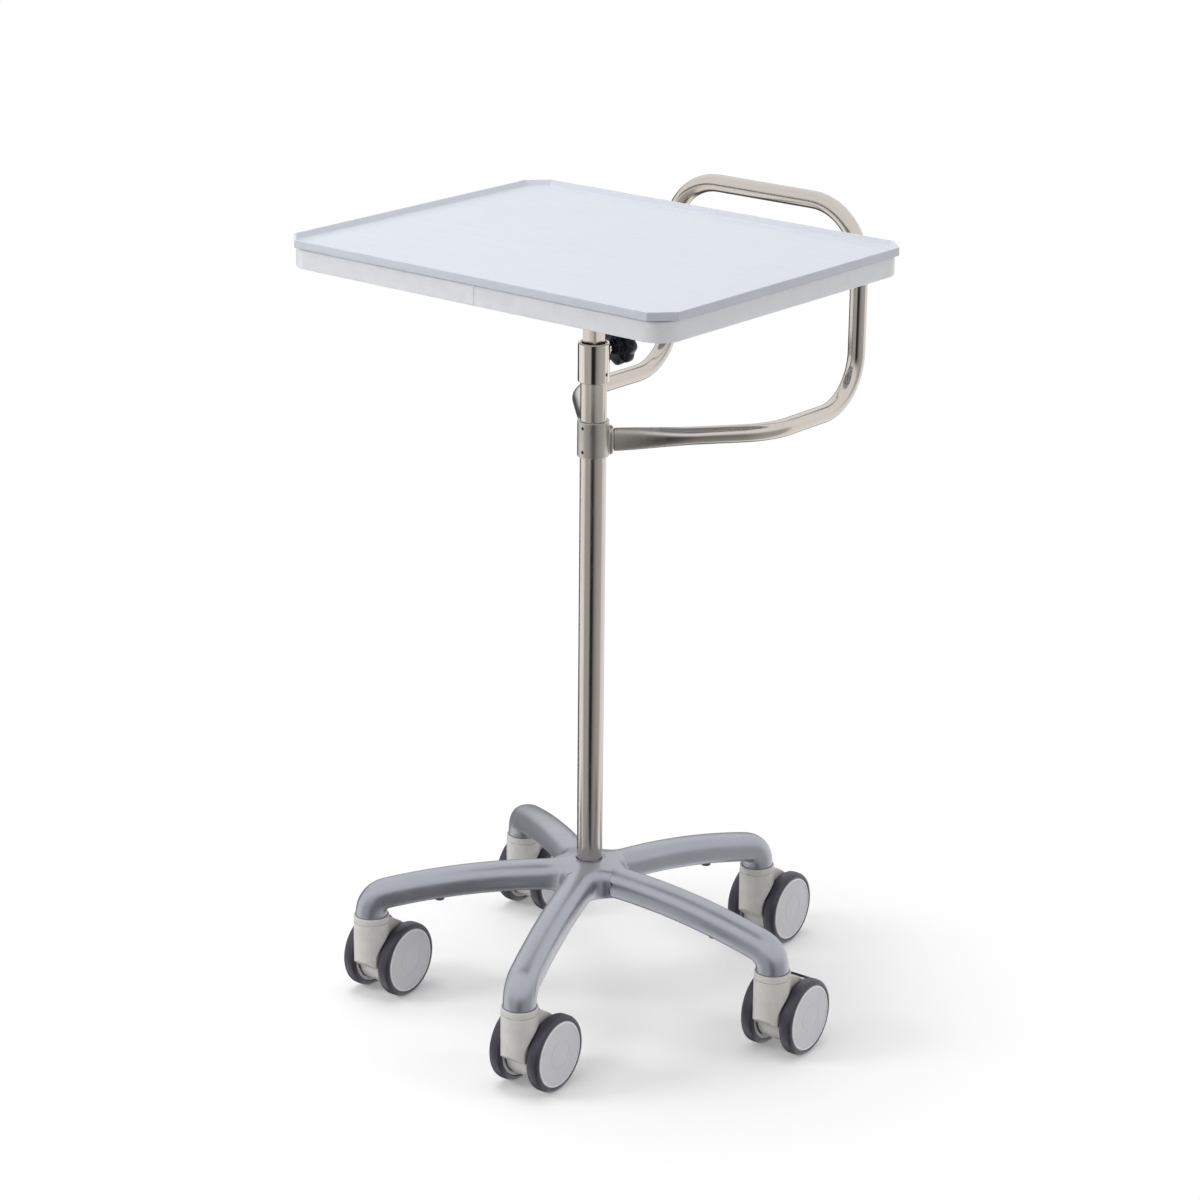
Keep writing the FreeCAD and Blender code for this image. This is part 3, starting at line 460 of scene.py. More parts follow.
def noise(tree, vector, scale, detail, roughness=0.5):
    return shader_node(tree, "ShaderNodeTexNoise", {"Vector": vector, "Scale": scale, "Detail": detail,
                                                    "Roughness": roughness}).outputs[0]


def range_node(tree, value, low, high, to_low=0.0, to_high=1.0, **settings):
    """Value carried from one range to another, and held inside it."""
    return shader_node(tree, "ShaderNodeMapRange", {"Value": value, "From Min": low, "From Max": high,
                                                    "To Min": to_low, "To Max": to_high},
                       **settings).outputs["Result"]


def math_node(tree, operation, first, second):
    return shader_node(tree, "ShaderNodeMath", {0: first, 1: second}, operation=operation).outputs[0]


def attribute(tree, name, output):
    """What a piece's mesh keeps at each point under a name."""
    return shader_node(tree, "ShaderNodeAttribute", {}, attribute_name=name).outputs[output]


def object_coordinates(tree):
    return shader_node(tree, "ShaderNodeTexCoord", {}).outputs["Object"]


def grain_group():
    """Fine pebble of a coat or moulding, as a height and as a speckle."""
    group, given, out = node_group("surface_grain", [("Scale", 900.0)], ["Height", "Speckle"])
    place, scale = object_coordinates(group), given.outputs["Scale"]
    fine = noise(group, place, scale, 3.0, 0.6)
    coarse = noise(group, place, math_node(group, "MULTIPLY", scale, 0.22), 2.0)
    height = math_node(group, "ADD", fine, math_node(group, "MULTIPLY", coarse, 0.6))
    group.links.new(height, out.inputs["Height"])
    group.links.new(range_node(group, fine, 0.35, 0.7), out.inputs["Speckle"])
    return group


def patches_group():
    """Large soft patches, from handling and cleaning, and thin wipe marks."""
    group, given, out = node_group("handling_patches", [("Scale", 9.0)], ["Patch", "Wipe"])
    place, scale = object_coordinates(group), given.outputs["Scale"]
    soft = noise(group, place, scale, 4.0, 0.55)
    group.links.new(range_node(group, soft, 0.32, 0.68), out.inputs["Patch"])
    along = shader_node(group, "ShaderNodeMapping", {"Vector": place, "Scale": (1.0, 6.0, 1.0),
                                                     "Rotation": (0.0, 0.0, math.radians(24))})
    wipe = noise(group, along.outputs["Vector"], math_node(group, "MULTIPLY", scale, 2.5), 5.0, 0.6)
    group.links.new(range_node(group, wipe, 0.45, 0.75), out.inputs["Wipe"])
    return group


def wear_group():
    """Mask of rubbed outer edges, broken up by noise."""
    group, given, out = node_group("edge_wear", [("Reach", 0.56), ("Break Up", 60.0)], ["Edge"])
    surface = shader_node(group, "ShaderNodeNewGeometry", {}).outputs
    edge = range_node(group, surface["Pointiness"], 0.51, given.outputs["Reach"])
    broken = noise(group, object_coordinates(group), given.outputs["Break Up"], 4.0, 0.65)
    mask = range_node(group, broken, 0.40, 0.62)
    group.links.new(math_node(group, "MULTIPLY", edge, mask), out.inputs["Edge"])
    return group


def dust_group():
    """Mask of dust that settles on upward faces."""
    group, given, out = node_group("settled_dust", [("Scale", 40.0)], ["Dust"])
    surface = shader_node(group, "ShaderNodeNewGeometry", {}).outputs
    split = shader_node(group, "ShaderNodeSeparateXYZ", {0: surface["Normal"]}).outputs
    upward = range_node(group, split["Z"], 0.3, 1.0)
    cloud = noise(group, object_coordinates(group), given.outputs["Scale"], 5.0, 0.6)
    mask = range_node(group, cloud, 0.42, 0.75)
    group.links.new(math_node(group, "MULTIPLY", upward, mask), out.inputs["Dust"])
    return group


def lines_group(name, run):
    """Fine brush lines, and broader bands along a tube that are painted reflection bands of light and dark,
    by the vector that run makes in the group.
    """
    group, given, out = node_group(name, [("Scale", 900.0)], ["Line", "Band"])
    vector, scale = run(group), given.outputs["Scale"]
    line = noise(group, vector, scale, 4.0, 0.7)
    # Broad bands along the tube: the mask of the painted reflection bands in the metal's colour
    band = noise(group, vector, math_node(group, "MULTIPLY", scale, 0.12), 3.0, 0.6)
    group.links.new(line, out.inputs["Line"])
    group.links.new(range_node(group, band, 0.35, 0.65), out.inputs["Band"])
    return group


def straight_run(tree):
    """Object coordinates drawn out along Z, for lines along an upright tube."""
    return shader_node(tree, "ShaderNodeMapping", {"Vector": object_coordinates(tree),
                                                   "Scale": (1.0, 1.0, 0.012)}).outputs["Vector"]


def bent_run(tree):
    """The bent tube's own run, for lines that follow it."""
    return attribute(tree, "run", "Vector")


def brush_group():
    return lines_group("brush_lines", straight_run)


def run_group():
    return lines_group("tube_brush_lines", bent_run)


groups = {}


def use_group(tree, name, **values):
    """Place a node group in a material, building it the first time."""
    makers = {"grain": grain_group, "patches": patches_group, "wear": wear_group,
              "dust": dust_group, "brush": brush_group, "run": run_group}
    if name not in groups:
        groups[name] = makers[name]()
    node = tree.nodes.new("ShaderNodeGroup")
    node.node_tree = groups[name]
    for label, value in values.items():
        node.inputs[label.replace("_", " ").title()].default_value = value
    return node


def new_material(name, metallic=0.0, **sockets):
    material = bpy.data.materials.new(name)
    material.use_nodes = True
    shader = material.node_tree.nodes["Principled BSDF"]
    shader.inputs["Metallic"].default_value = metallic
    for label, value in sockets.items():
        shader.inputs[label.replace("_", " ")].default_value = value
    return material, material.node_tree, shader


def mixed_colour(tree, mask, first, second):
    """Colour that goes from first to second with a mask."""
    node = tree.nodes.new("ShaderNodeMix")
    node.data_type = "RGBA"
    for label, value in (("A", first), ("B", second)):
        socket = next(item for item in node.inputs if item.name == label and item.type == "RGBA")
        if isinstance(value, bpy.types.NodeSocket):
            tree.links.new(value, socket)
        else:
            socket.default_value = (*value, 1.0)
    tree.links.new(mask, node.inputs[0])
    return next(item for item in node.outputs if item.type == "RGBA")


def scaled(tone, factor):
    return tuple(min(1.0, channel * factor) for channel in tone)


def bump(tree, shader, height, depth):
    """Raise the surface by a height pattern of a given depth in metres."""
    node = shader_node(tree, "ShaderNodeBump", {"Distance": depth, "Height": height})
    tree.links.new(node.outputs["Normal"], shader.inputs["Normal"])


def coated(name, tone, rough_low, rough_high, grain_scale, grain_depth, edge_tone=None,
           dust=0.0, metallic=0.0, shade=0.94, painted_highlight_tone=None, **sockets):
    """Powder coat or moulded plastic: patches, speckle, rubbed edges, a little dust and fine grain."""
    material, tree, shader = new_material(name, metallic, **sockets)
    patches = use_group(tree, "patches", scale=9.0).outputs
    grain = use_group(tree, "grain", scale=grain_scale).outputs
    base = mixed_colour(tree, patches["Patch"], tone, scaled(tone, shade))
    speckle = math_node(tree, "MULTIPLY", grain["Speckle"], 0.25)
    base = mixed_colour(tree, speckle, base, scaled(tone, shade * shade))
    if edge_tone:
        base = mixed_colour(tree, use_group(tree, "wear").outputs["Edge"], base, edge_tone)
    # Painted highlight: pale tone painted where the mesh's rim attribute marks a raised ring
    if painted_highlight_tone:
        base = mixed_colour(tree, attribute(tree, "rim", "Fac"), base, painted_highlight_tone)
    if dust:
        amount = math_node(tree, "MULTIPLY", use_group(tree, "dust").outputs["Dust"], dust)
        base = mixed_colour(tree, amount, base, (0.55, 0.54, 0.52))
    tree.links.new(base, shader.inputs["Base Color"])
    roughness = range_node(tree, patches["Wipe"], 0.0, 1.0, rough_low, rough_high)
    tree.links.new(roughness, shader.inputs["Roughness"])
    bump(tree, shader, grain["Height"], grain_depth)
    return material


def brushed(name, tone, dark, rough_low, rough_high, lines, scale, depth, flat_rough=0.0, **sockets):
    """Brushed or polished metal with lines along its length, painted reflection bands and handling patches in
    a darker tone, duller where a tube is pressed flat.
    """
    material, tree, shader = new_material(name, 1.0, **sockets)
    brush = use_group(tree, lines, scale=scale).outputs
    patches = use_group(tree, "patches", scale=14.0).outputs
    # Painted reflection: broad bands of the darker tone along the tube stand in for reflected bands of light
    # and dark
    base = mixed_colour(tree, brush["Band"], tone, dark)
    base = mixed_colour(tree, math_node(tree, "MULTIPLY", patches["Patch"], 0.5), base, dark)
    tree.links.new(base, shader.inputs["Base Color"])
    blend = math_node(tree, "ADD", math_node(tree, "MULTIPLY", brush["Line"], 0.6),
                      math_node(tree, "MULTIPLY", patches["Wipe"], 0.4))
    roughness = range_node(tree, blend, 0.0, 1.0, rough_low, rough_high)
    if flat_rough:
        added = math_node(tree, "MULTIPLY", attribute(tree, "flat", "Fac"), flat_rough)
        roughness = math_node(tree, "ADD", roughness, added)
    tree.links.new(roughness, shader.inputs["Roughness"])
    bump(tree, shader, brush["Line"], depth)
    return material


# Materials

def tray_white():
    looks = bpy.context.scene.cart_tray
    return coated("tray_white", looks.white, 0.34, 0.46, 1400.0, 0.010 * mm,
                  edge_tone=scaled(looks.white, 1.06), dust=0.05, shade=0.985, Specular_IOR_Level=0.2)


def skirt_grey():
    looks = bpy.context.scene.cart_tray
    return coated("skirt_grey", looks.grey, 0.30, 0.42, 1400.0, 0.012 * mm,
                  edge_tone=scaled(looks.grey, 1.10), shade=0.97)


def stainless():
    looks = bpy.context.scene.cart_metal
    return brushed("stainless", looks.steel, looks.steel_dark, 0.12, 0.30, "brush",
                   looks.line_scale, 0.004 * mm)


def stainless_bent():
    looks = bpy.context.scene.cart_metal
    return brushed("stainless_bent", scaled(looks.steel, 0.92), looks.steel_dark, 0.11, 0.24, "run",
                   26.0, 0.0006 * mm, flat_rough=0.30)


def polished_collar():
    looks = bpy.context.scene.cart_metal
    return brushed("polished_collar", scaled(looks.steel, 1.12), looks.steel, 0.03, 0.12, "brush",
                   looks.line_scale, 0.0008 * mm)


def satin_collar():
    looks = bpy.context.scene.cart_metal
    return coated("satin_collar", looks.collar, 0.34, 0.50, 1600.0, 0.010 * mm,
                  edge_tone=scaled(looks.collar, 1.25), metallic=1.0, shade=0.88)


def zinc_steel():
    looks = bpy.context.scene.cart_metal
    return coated("zinc_steel", looks.zinc, 0.28, 0.45, 1200.0, 0.010 * mm, metallic=1.0, shade=0.85)


def black_oxide():
    return coated("black_oxide", (0.016, 0.016, 0.017), 0.30, 0.48, 1500.0, 0.010 * mm,
                  edge_tone=(0.08, 0.08, 0.08), metallic=0.6)


def guide_plastic():
    return coated("guide_plastic", (0.055, 0.056, 0.060), 0.42, 0.60, 900.0, 0.020 * mm,
                  edge_tone=(0.12, 0.12, 0.12))


def pad_brass():
    return coated("pad_brass", (0.62, 0.44, 0.19), 0.25, 0.42, 1200.0, 0.008 * mm, metallic=1.0, shade=0.8)


def knob_black():
    looks = bpy.context.scene.cart_clamp
    return coated("knob_black", looks.black, 0.10, 0.24, 700.0, 0.010 * mm,
                  edge_tone=(0.030, 0.031, 0.037), Specular_IOR_Level=0.22)


def base_silver():
    looks = bpy.context.scene.cart_base
    return coated("base_silver", looks.silver, 0.30, 0.42, 2400.0, 0.006 * mm,
                  edge_tone=scaled(looks.silver, 1.3), dust=0.06, metallic=0.65, shade=0.94,
                  Coat_Weight=0.25, Coat_Roughness=0.22)


def caster_grey():
    looks = bpy.context.scene.cart_casters
    return coated("caster_grey", looks.grey, 0.38, 0.52, 1100.0, 0.018 * mm,
                  edge_tone=scaled(looks.grey, 1.12), dust=0.05, shade=0.95)


def wheel_cap():
    looks = bpy.context.scene.cart_casters
    # The raised ring round the wheel face gets a painted highlight
    return coated("wheel_cap", looks.cap, 0.34, 0.48, 1000.0, 0.014 * mm, shade=0.95,
                  painted_highlight_tone=looks.cap_rim)


def tyre_grey():
    looks = bpy.context.scene.cart_casters
    return coated("tyre_grey", looks.tyre, 0.36, 0.58, 800.0, 0.022 * mm,
                  edge_tone=scaled(looks.tyre, 1.6), dust=0.04, shade=0.85)


def pedal_black():
    looks = bpy.context.scene.cart_clamp
    return coated("pedal_black", scaled(looks.black, 1.4), 0.22, 0.40, 900.0, 0.015 * mm,
                  edge_tone=(0.05, 0.05, 0.055))


# Tray and skirt

def cut_corner_loop(half_x, half_y, leg, radius, z, arc_steps=3):
    """Rectangle with cut corners, each of its eight corners slightly rounded."""
    corners = [(half_x, -half_y + leg), (half_x, half_y - leg), (half_x - leg, half_y),
               (-half_x + leg, half_y), (-half_x, half_y - leg), (-half_x, -half_y + leg),
               (-half_x + leg, -half_y), (half_x - leg, -half_y)]
    outline = rounded([(x, y, radius) for x, y in corners], True, arc_steps)
    return [Vector((point.x, point.y, z)) for point in outline]


def tray_shell():
    """Tray with a raised rim and cut corners, and the step under it."""
    looks = bpy.context.scene.cart_tray
    low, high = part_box("tray_top")
    skirt_low, skirt_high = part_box("tray_skirt")
    pad_inset = skirt_low.x - low.x + 2 * looks.skirt_sheet
    lip_bottom = high.z - looks.lip_height
    inner = looks.lip_top_width
    floor = high.z - looks.well_depth
    slope_end = inner + looks.lip_slope_run
    edge = looks.edge_round
    profile = rounded([(pad_inset, skirt_high.z, 0), (pad_inset, lip_bottom, 0),
                       (0, lip_bottom, edge * 0.7), (0, high.z, edge),
                       (inner, high.z, edge * 0.6), (slope_end, floor, looks.floor_round),
                       (slope_end + 3 * looks.floor_round, floor, 0)], False)
    sections = []
    for inset, z in profile:
        leg = looks.corner_leg - inset * (2 - math.sqrt(2))
        radius = min(looks.corner_round, leg / 3)
        sections.append(cut_corner_loop(high.x - inset, high.y - inset, leg, radius, z))
    return skinned(sections)


def skirt_loop(inset, z):
    looks = bpy.context.scene.cart_tray
    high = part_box("tray_skirt")[1]
    half_x, half_y = high.x - inset, high.y - inset
    radius = looks.skirt_corner_radius - inset
    outline = rounded([(half_x, -half_y, radius), (half_x, half_y, radius),
                       (-half_x, half_y, radius), (-half_x, -half_y, radius)], True, 14)
    seam = looks.seam_width
    across = [looks.seam_x + offset * seam for offset in (-3, -0.5, -0.45, 0.45, 0.5, 3)]
    outline += [Vector((x, -half_y)) for x in across]
    return [Vector((point.x, point.y, z)) for point in outline]


def skirt_frame():
    """Channel folded from sheet round the underside, with a butt seam at the front."""
    looks = bpy.context.scene.cart_tray
    low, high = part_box("tray_skirt")
    sheet, flange, fold = looks.skirt_sheet, looks.skirt_flange, looks.skirt_fold
    fold_inside = 0.4 * mm
    profile = rounded([(0, low.z, fold), (0, high.z, fold), (flange, high.z, fold_inside),
                       (flange, high.z - sheet, fold_inside), (sheet, high.z - sheet, fold_inside),
                       (sheet, low.z + sheet, fold_inside), (flange, low.z + sheet, fold_inside),
                       (flange, low.z, fold_inside)], True)
    bm = skinned([skirt_loop(inset, z) for inset, z in profile], closed=True)
    for vert in bm.verts:
        beside_seam = abs(vert.co.x - looks.seam_x) < 0.47 * looks.seam_width
        if beside_seam and vert.co.y < low.y + sheet / 2:
            vert.co.y += sheet / 2
    return bm


class CART_OT_tray(bpy.types.Operator):
    """Model the tray and the skirt frame under it"""
    bl_idname = "cart.tray"
    bl_label = "Tray and skirt"

    def execute(self, context):
        piece(tray_shell(), "tray_shell", "tray", tray_white(), ["tray_top"])
        skirt = skirt_grey()
        piece(skirt_frame(), "skirt_frame", "tray", skirt, ["tray_skirt"])
        coat(skirt, "tray_rails", "mount_plate")
        coat(zinc_steel(), "mount_bolts", "mount_nuts")
        return {"FINISHED"}


# Column and mast

def square_tube_loop(half, radius, z):
    corners = [(half, -half, radius), (half, half, radius), (-half, half, radius), (-half, -half, radius)]
    return [Vector((point.x, point.y, z)) for point in rounded(corners, True, 4)]


def column_tube():
    """Square column with rounded edges and its bore."""
    low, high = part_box("inner_column")
    half = high.x
    wall, outer_radius, inner_radius, ease = 2 * mm, 1.5 * mm, 0.75 * mm, 0.3 * mm
    profile = [(0, low.z + ease), (0, high.z), (wall, high.z), (wall, low.z), (ease, low.z)]
    sections = []
    for inset, z in profile:
        radius = inner_radius if inset == wall else outer_radius - inset
        sections.append(square_tube_loop(half - inset, radius, z))
    return skinned(sections, closed=True)


def stud_bore():
    """Cutter for the bore that the clamp's stud and pad run in, through the mast's rear wall."""
    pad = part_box("clamp_pad")[1].x + 0.1 * mm
    reach = bpy.context.scene.cart_clamp.boss_reach + mm
    return turned([(0, 8 * mm, 0), (pad, 8 * mm, 0), (pad, reach, 0), (0, reach, 0)],
                  along_y(middle_height("clamp_knob")), steps=48)


def mast_tube():
    low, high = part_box("mast_tube")
    radius, bore, ease = high.x, high.x - 1.5 * mm, 0.4 * mm
    corners = [(radius, low.z, ease), (radius, high.z, ease), (bore, high.z, ease), (bore, low.z, ease)]
    return joined(turned(corners, upright, steps=128, arc_steps=2), stud_bore(), "DIFFERENCE")


class CART_OT_mast(bpy.types.Operator):
    """Model the telescopic column and mast, and finish the pieces inside them"""
    bl_idname = "cart.mast"
    bl_label = "Column and mast"

    def execute(self, context):
        steel = stainless()
        piece(column_tube(), "column_tube", "tray", steel, ["inner_column"])
        piece(mast_tube(), "mast_pole", "base", steel, ["mast_tube"])
        coat(guide_plastic(), "column_guide", "mast_bush", "hub_cover", "arm_plugs")
        coat(zinc_steel(), "mast_plug", "mast_washer", "mast_bolt")
        coat(black_oxide(), "grub_screws")
        return {"FINISHED"}


# Clamp sleeve and hand knob

def grub_holes(outer, angle, heights, radius=2 * mm, sink=0.8 * mm):
    """Cutters for grub screw holes, with a small countersink at the surface."""
    cutters = []
    for z in heights:
        place = (Matrix.Translation((0, 0, z)) @ Matrix.Rotation(angle, 4, "Z")
                 @ Matrix.Rotation(math.pi / 2, 4, "Y"))
        corners = [(0, 10 * mm, 0), (radius, 10 * mm, 0), (radius, outer - 0.5 * sink, 0),
                   (radius + sink, outer + 0.5 * sink, 0), (0, outer + 0.5 * sink, 0)]
        cutters.append(turned(corners, place, steps=24))
    return cutters


def clamp_sleeve():
    """Polished sleeve with chamfered ends, a boss for the knob and a grub screw hole."""
    looks = bpy.context.scene.cart_clamp
    low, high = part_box("clamp_collar")
    radius = high.x
    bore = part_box("mast_tube")[1].x
    chamfer = looks.chamfer
    ease = 0.35 * mm
    corners = [(radius - chamfer, low.z, ease), (radius, low.z + chamfer, ease),
               (radius, high.z - chamfer, ease), (radius - chamfer, high.z, ease),
               (bore + 0.7 * mm, high.z, ease), (bore, high.z - 0.7 * mm, ease), (bore, low.z, 0)]
    body = turned(corners, upright, steps=128, arc_steps=3)
    boss = turned([(0, bore + mm, 0), (looks.boss_radius, bore + mm, 0),
                   (looks.boss_radius, looks.boss_reach, 0.8 * mm), (0, looks.boss_reach, 0)],
                  along_y(middle_height("clamp_knob")), steps=64)
    body = joined(joined(body, boss), stud_bore(), "DIFFERENCE")
    for cutter in grub_holes(radius, math.radians(3), [low.z + 11 * mm]):
        body = joined(body, cutter, "DIFFERENCE")
    return body


def knob_loop(radius, depth, y, lobes, count=96):
    """Lobed loop square to the knob's axis."""
    z = middle_height("clamp_knob")
    points = []
    for step in range(count):
        angle = 2 * math.pi * step / count
        wave = (1 + math.cos(lobes * angle)) / 2
        reach = radius - depth * (1 - wave ** 0.8)
        points.append(Vector((reach * math.cos(angle), y, z + reach * math.sin(angle))))
    return points


def hand_knob():
    """Lobed knob with a flared neck, full lobes and a dished face, from rows of (radius, lobe share, run)."""
    looks = bpy.context.scene.cart_clamp
    low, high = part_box("clamp_knob")
    radius, depth, lobes = high.x, looks.lobe_depth, looks.lobes
    near, far = low.y, high.y
    drawn_radius, drawn_run = 25, 26
    rows = [(6.2, 0, 0.0), (8.2, 0, 0.0), (8.9, 0, 0.7), (9.0, 0, 3.0), (9.3, 0, 6.0), (10.4, 0, 8.4),
            (12.6, 0.1, 9.7), (16.0, 0.3, 10.0), (20.0, 0.6, 10.3), (22.8, 0.85, 11.0), (24.4, 1, 12.4),
            (25.0, 1, 14.6), (25.0, 1, 19.8), (24.5, 1, 22.6), (23.2, 0.9, 24.6), (21.4, 0.7, 25.7),
            (19.4, 0.5, 26.0), (17.6, 0.25, 25.7), (15.8, 0, 24.6), (14.6, 0, 24.1), (9.0, 0, 24.0),
            (8.2, 0, 24.2), (7.6, 0, 25.0), (6.8, 0, 25.4), (3.0, 0, 25.5)]
    return skinned([knob_loop(reach * radius / drawn_radius, depth * lobe_share,
                              near + run * (far - near) / drawn_run, lobes)
                    for reach, lobe_share, run in rows])


class CART_OT_clamp(bpy.types.Operator):
    """Model the clamp sleeve and its hand knob"""
    bl_idname = "cart.clamp"
    bl_label = "Clamp and knob"

    def execute(self, context):
        piece(clamp_sleeve(), "clamp_sleeve", "base", polished_collar(),
              ["clamp_collar"])
        piece(hand_knob(), "hand_knob", "clamp_knob", knob_black(), ["clamp_knob"])
        coat(zinc_steel(), "clamp_stud")
        coat(pad_brass(), "clamp_pad")
        return {"FINISHED"}


# Push handle

def handle_knee(side):
    """Corner between an arm's rise from the mast and its straight run to the rear."""
    looks = bpy.context.scene.cart_handle
    knee_y = looks.right_knee if side > 0 else looks.left_knee
    return Vector((side * looks.half_span, knee_y, middle_height("handle_collar")))


def boss_direction(side):
    knee = handle_knee(side)
    return Vector((knee.x, knee.y, 0)).normalized()


def handle_root(side):
    """Where an arm leaves its boss, and its direction out to the knee."""
    looks = bpy.context.scene.cart_handle
    drop = Vector((0, 0, middle_height("handle_collar") - looks.root_drop))
    start = boss_direction(side) * looks.boss_reach + drop
    return start, (handle_knee(side) - start).normalized()


def bent_line(points, bend_radii, bend_steps=14):
    """Points along straight runs joined by tangent bends."""
    line = [points[0]]
    for before, corner, after, radius in zip(points, points[1:], points[2:], bend_radii):
        to_before = (before - corner).normalized()
        to_after = (after - corner).normalized()
        half = to_before.angle(to_after) / 2
        start = corner + to_before * radius / math.tan(half)
        centre = corner + (to_before + to_after).normalized() * radius / math.sin(half)
        axis = to_after.cross(to_before)
        for step in range(bend_steps + 1):
            spin = Matrix.Rotation((math.pi - 2 * half) * step / bend_steps, 3, axis)
            line.append(centre + spin @ (start - centre))
    line.append(points[-1])
    return line


def handle_line():
    looks = bpy.context.scene.cart_handle
    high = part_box("handle_tube")[1]
    tube_radius = tube_half()
    span = looks.half_span
    reach = high.y - tube_radius
    top = high.z - tube_radius
    z = middle_height("handle_collar")
    right_root, right_direction = handle_root(1)
    left_root, left_direction = handle_root(-1)
    points = [right_root + right_direction * looks.taper_length, handle_knee(1),
              Vector((span, reach, z)), Vector((span, reach, top)), Vector((-span, reach, top)),
              Vector((-span, reach, z)), handle_knee(-1),
              left_root + left_direction * looks.taper_length]
    bends = [looks.knee_radius, looks.rise_radius, looks.top_radius]
    return bent_line(points, bends + bends[::-1])


def tube_half():
    """Half the handle tube's diameter, from the frame."""
    looks = bpy.context.scene.cart_handle
    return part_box("handle_tube")[1].x - looks.half_span


def root_sections(side):
    """Centre, heading, half width and half height along a flattened root, from the boss outwards."""
    looks = bpy.context.scene.cart_handle
    root, direction = handle_root(side)
    tube_radius = tube_half()
    rows = [(-2.0 * mm, 0.86), (1.2 * mm, 0.86), (1.6 * mm, 1.0)]
    steps = 16
    rows += [(looks.taper_length * step / steps, 1.0) for step in range(1, steps)]
    sections = []
    for run, girth in rows:
        blend = smooth_share(max(0.0, run / looks.taper_length))
        half_width = looks.root_thickness / 2 * (1 - blend) + tube_radius * blend
        half_height = looks.root_height / 2 * (1 - blend) + tube_radius * blend
        centre = root + direction * run
        form = 2.6 * (1 - blend) + 2.0 * blend
        sections.append((centre, half_width * girth, half_height * girth, form))
    return sections


def push_handle(count=48):
    """One bent tube with flattened roots, with its brush direction kept in an attribute."""
    line = handle_line()
    radius = tube_half()
    rows = root_sections(1)
    rows += [(point, radius, radius, 2.0) for point in line]
    rows += root_sections(-1)[::-1]
    centres = [row[0] for row in rows]
    heading = (centres[1] - centres[0]).normalized()
    side = heading.cross(Vector((0, 0, 1))).normalized()
    up = side.cross(heading)
    sections = []
    for index, (centre, half_width, half_height, form) in enumerate(rows):
        ahead = centres[min(index + 1, len(rows) - 1)] - centres[max(index - 1, 0)]
        turn_by = heading.rotation_difference(ahead.normalized())
        heading = ahead.normalized()
        side = turn_by @ side
        up = turn_by @ up
        sections.append(oval(centre, side, up, half_width, half_height, form, form, count))
    bm = skinned(sections)
    store_run(bm, centres, sections, count)
    return bm


def store_run(bm, centres, sections, count):
    """Keep for each point its turn round the tube and its distance along it."""
    run_layer = bm.verts.layers.float_vector.new("run")
    flat_layer = bm.verts.layers.float.new("flat")
    taper = bpy.context.scene.cart_handle.taper_length
    places = {}
    distance = 0.0
    last = centres[0]
    for centre, section in zip(centres, sections):
        distance += (centre - last).length
        last = centre
        nearest_end = min((centre - centres[0]).length, (centre - centres[-1]).length)
        flat = 1 - smooth_share(min(1.0, nearest_end / taper))
        for step, point in enumerate(section):
            angle = 2 * math.pi * step / count
            run = (math.cos(angle), math.sin(angle), distance)
            places[tuple(round(value, 6) for value in point)] = (run, flat)
    for vert in bm.verts:
        vert[run_layer], vert[flat_layer] = places[tuple(round(value, 6) for value in vert.co)]


def cast_collar():
    """Satin cast collar: sleeve and two arm bosses blended together, bored for the mast."""
    looks = bpy.context.scene.cart_handle
    low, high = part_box("handle_collar")
    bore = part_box("mast_tube")[1].x
    radius = bore + looks.collar_wall
    middle = middle_height("handle_collar")
    edge = 0.8 * mm
    body = turned([(0, low.z, 0), (radius, low.z, edge), (radius, high.z, edge), (0, high.z, 0)],
                  upright, steps=96)
    for side in (1, -1):
        direction = boss_direction(side)
        across = direction.cross(Vector((0, 0, 1)))
        half_width, half_height = looks.boss_width / 2, looks.boss_height / 2
        centre = Vector((0, 0, middle - looks.root_drop))
        rows = [(bore / 2, 0), (looks.boss_reach - 1.6 * mm, 0), (looks.boss_reach - 0.5 * mm, 0.4 * mm),
                (looks.boss_reach, 1.4 * mm)]
        boss = skinned([oval(centre + direction * reach, across, Vector((0, 0, 1)),
                             half_width - inset, half_height - inset, 3.0, 3.0, 48)
                        for reach, inset in rows])
        body = joined(body, boss)
    body = softened(body, 0.7 * mm, 5)
    hole = turned([(0, low.z - mm, 0), (bore, low.z - mm, 0), (bore, high.z + mm, 0), (0, high.z + mm, 0)],
                  upright, steps=128)
    body = joined(body, hole, "DIFFERENCE")
    inset = 7.5 * mm
    for cutter in grub_holes(radius, math.radians(-92), [low.z + inset, high.z - inset]):
        body = joined(body, cutter, "DIFFERENCE")
    return body


class CART_OT_handle(bpy.types.Operator):
    """Model the push handle and its collar"""
    bl_idname = "cart.handle"
    bl_label = "Push handle"

    def execute(self, context):
        piece(push_handle(), "push_handle", "base", stainless_bent(), ["handle_tube"])
        piece(cast_collar(), "cast_collar", "base", satin_collar(), ["handle_collar"])
        return {"FINISHED"}


# Star base

def star_radius():
    place = joints[caster_names[0] + "_swivel"]["pos_m"]
    return math.hypot(place[0], place[1])


def base_turn():
    """Angle of the right-hand arm, from its caster's swivel."""
    place = joints["caster_right_swivel"]["pos_m"]
    return math.atan2(place[1], place[0])


def arm_centre(reach):
    """Centre of an arm's section and its slope, at a distance out."""
    looks = bpy.context.scene.cart_base
    span = star_radius() - looks.elbow_run - looks.arm_root_reach
    part = max(0.0, (reach - looks.arm_root_reach) / span)
    slope = math.atan(2 * looks.arm_drop * part / span)
    centre = Vector((reach, 0, arm_root_height() - looks.arm_drop * part * part))
    return centre, slope


def arm_root_height():
    """Height of an arm's middle at the hub."""
    looks = bpy.context.scene.cart_base
    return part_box("hub_cover")[0].z + 3 * mm + looks.arm_height / 2


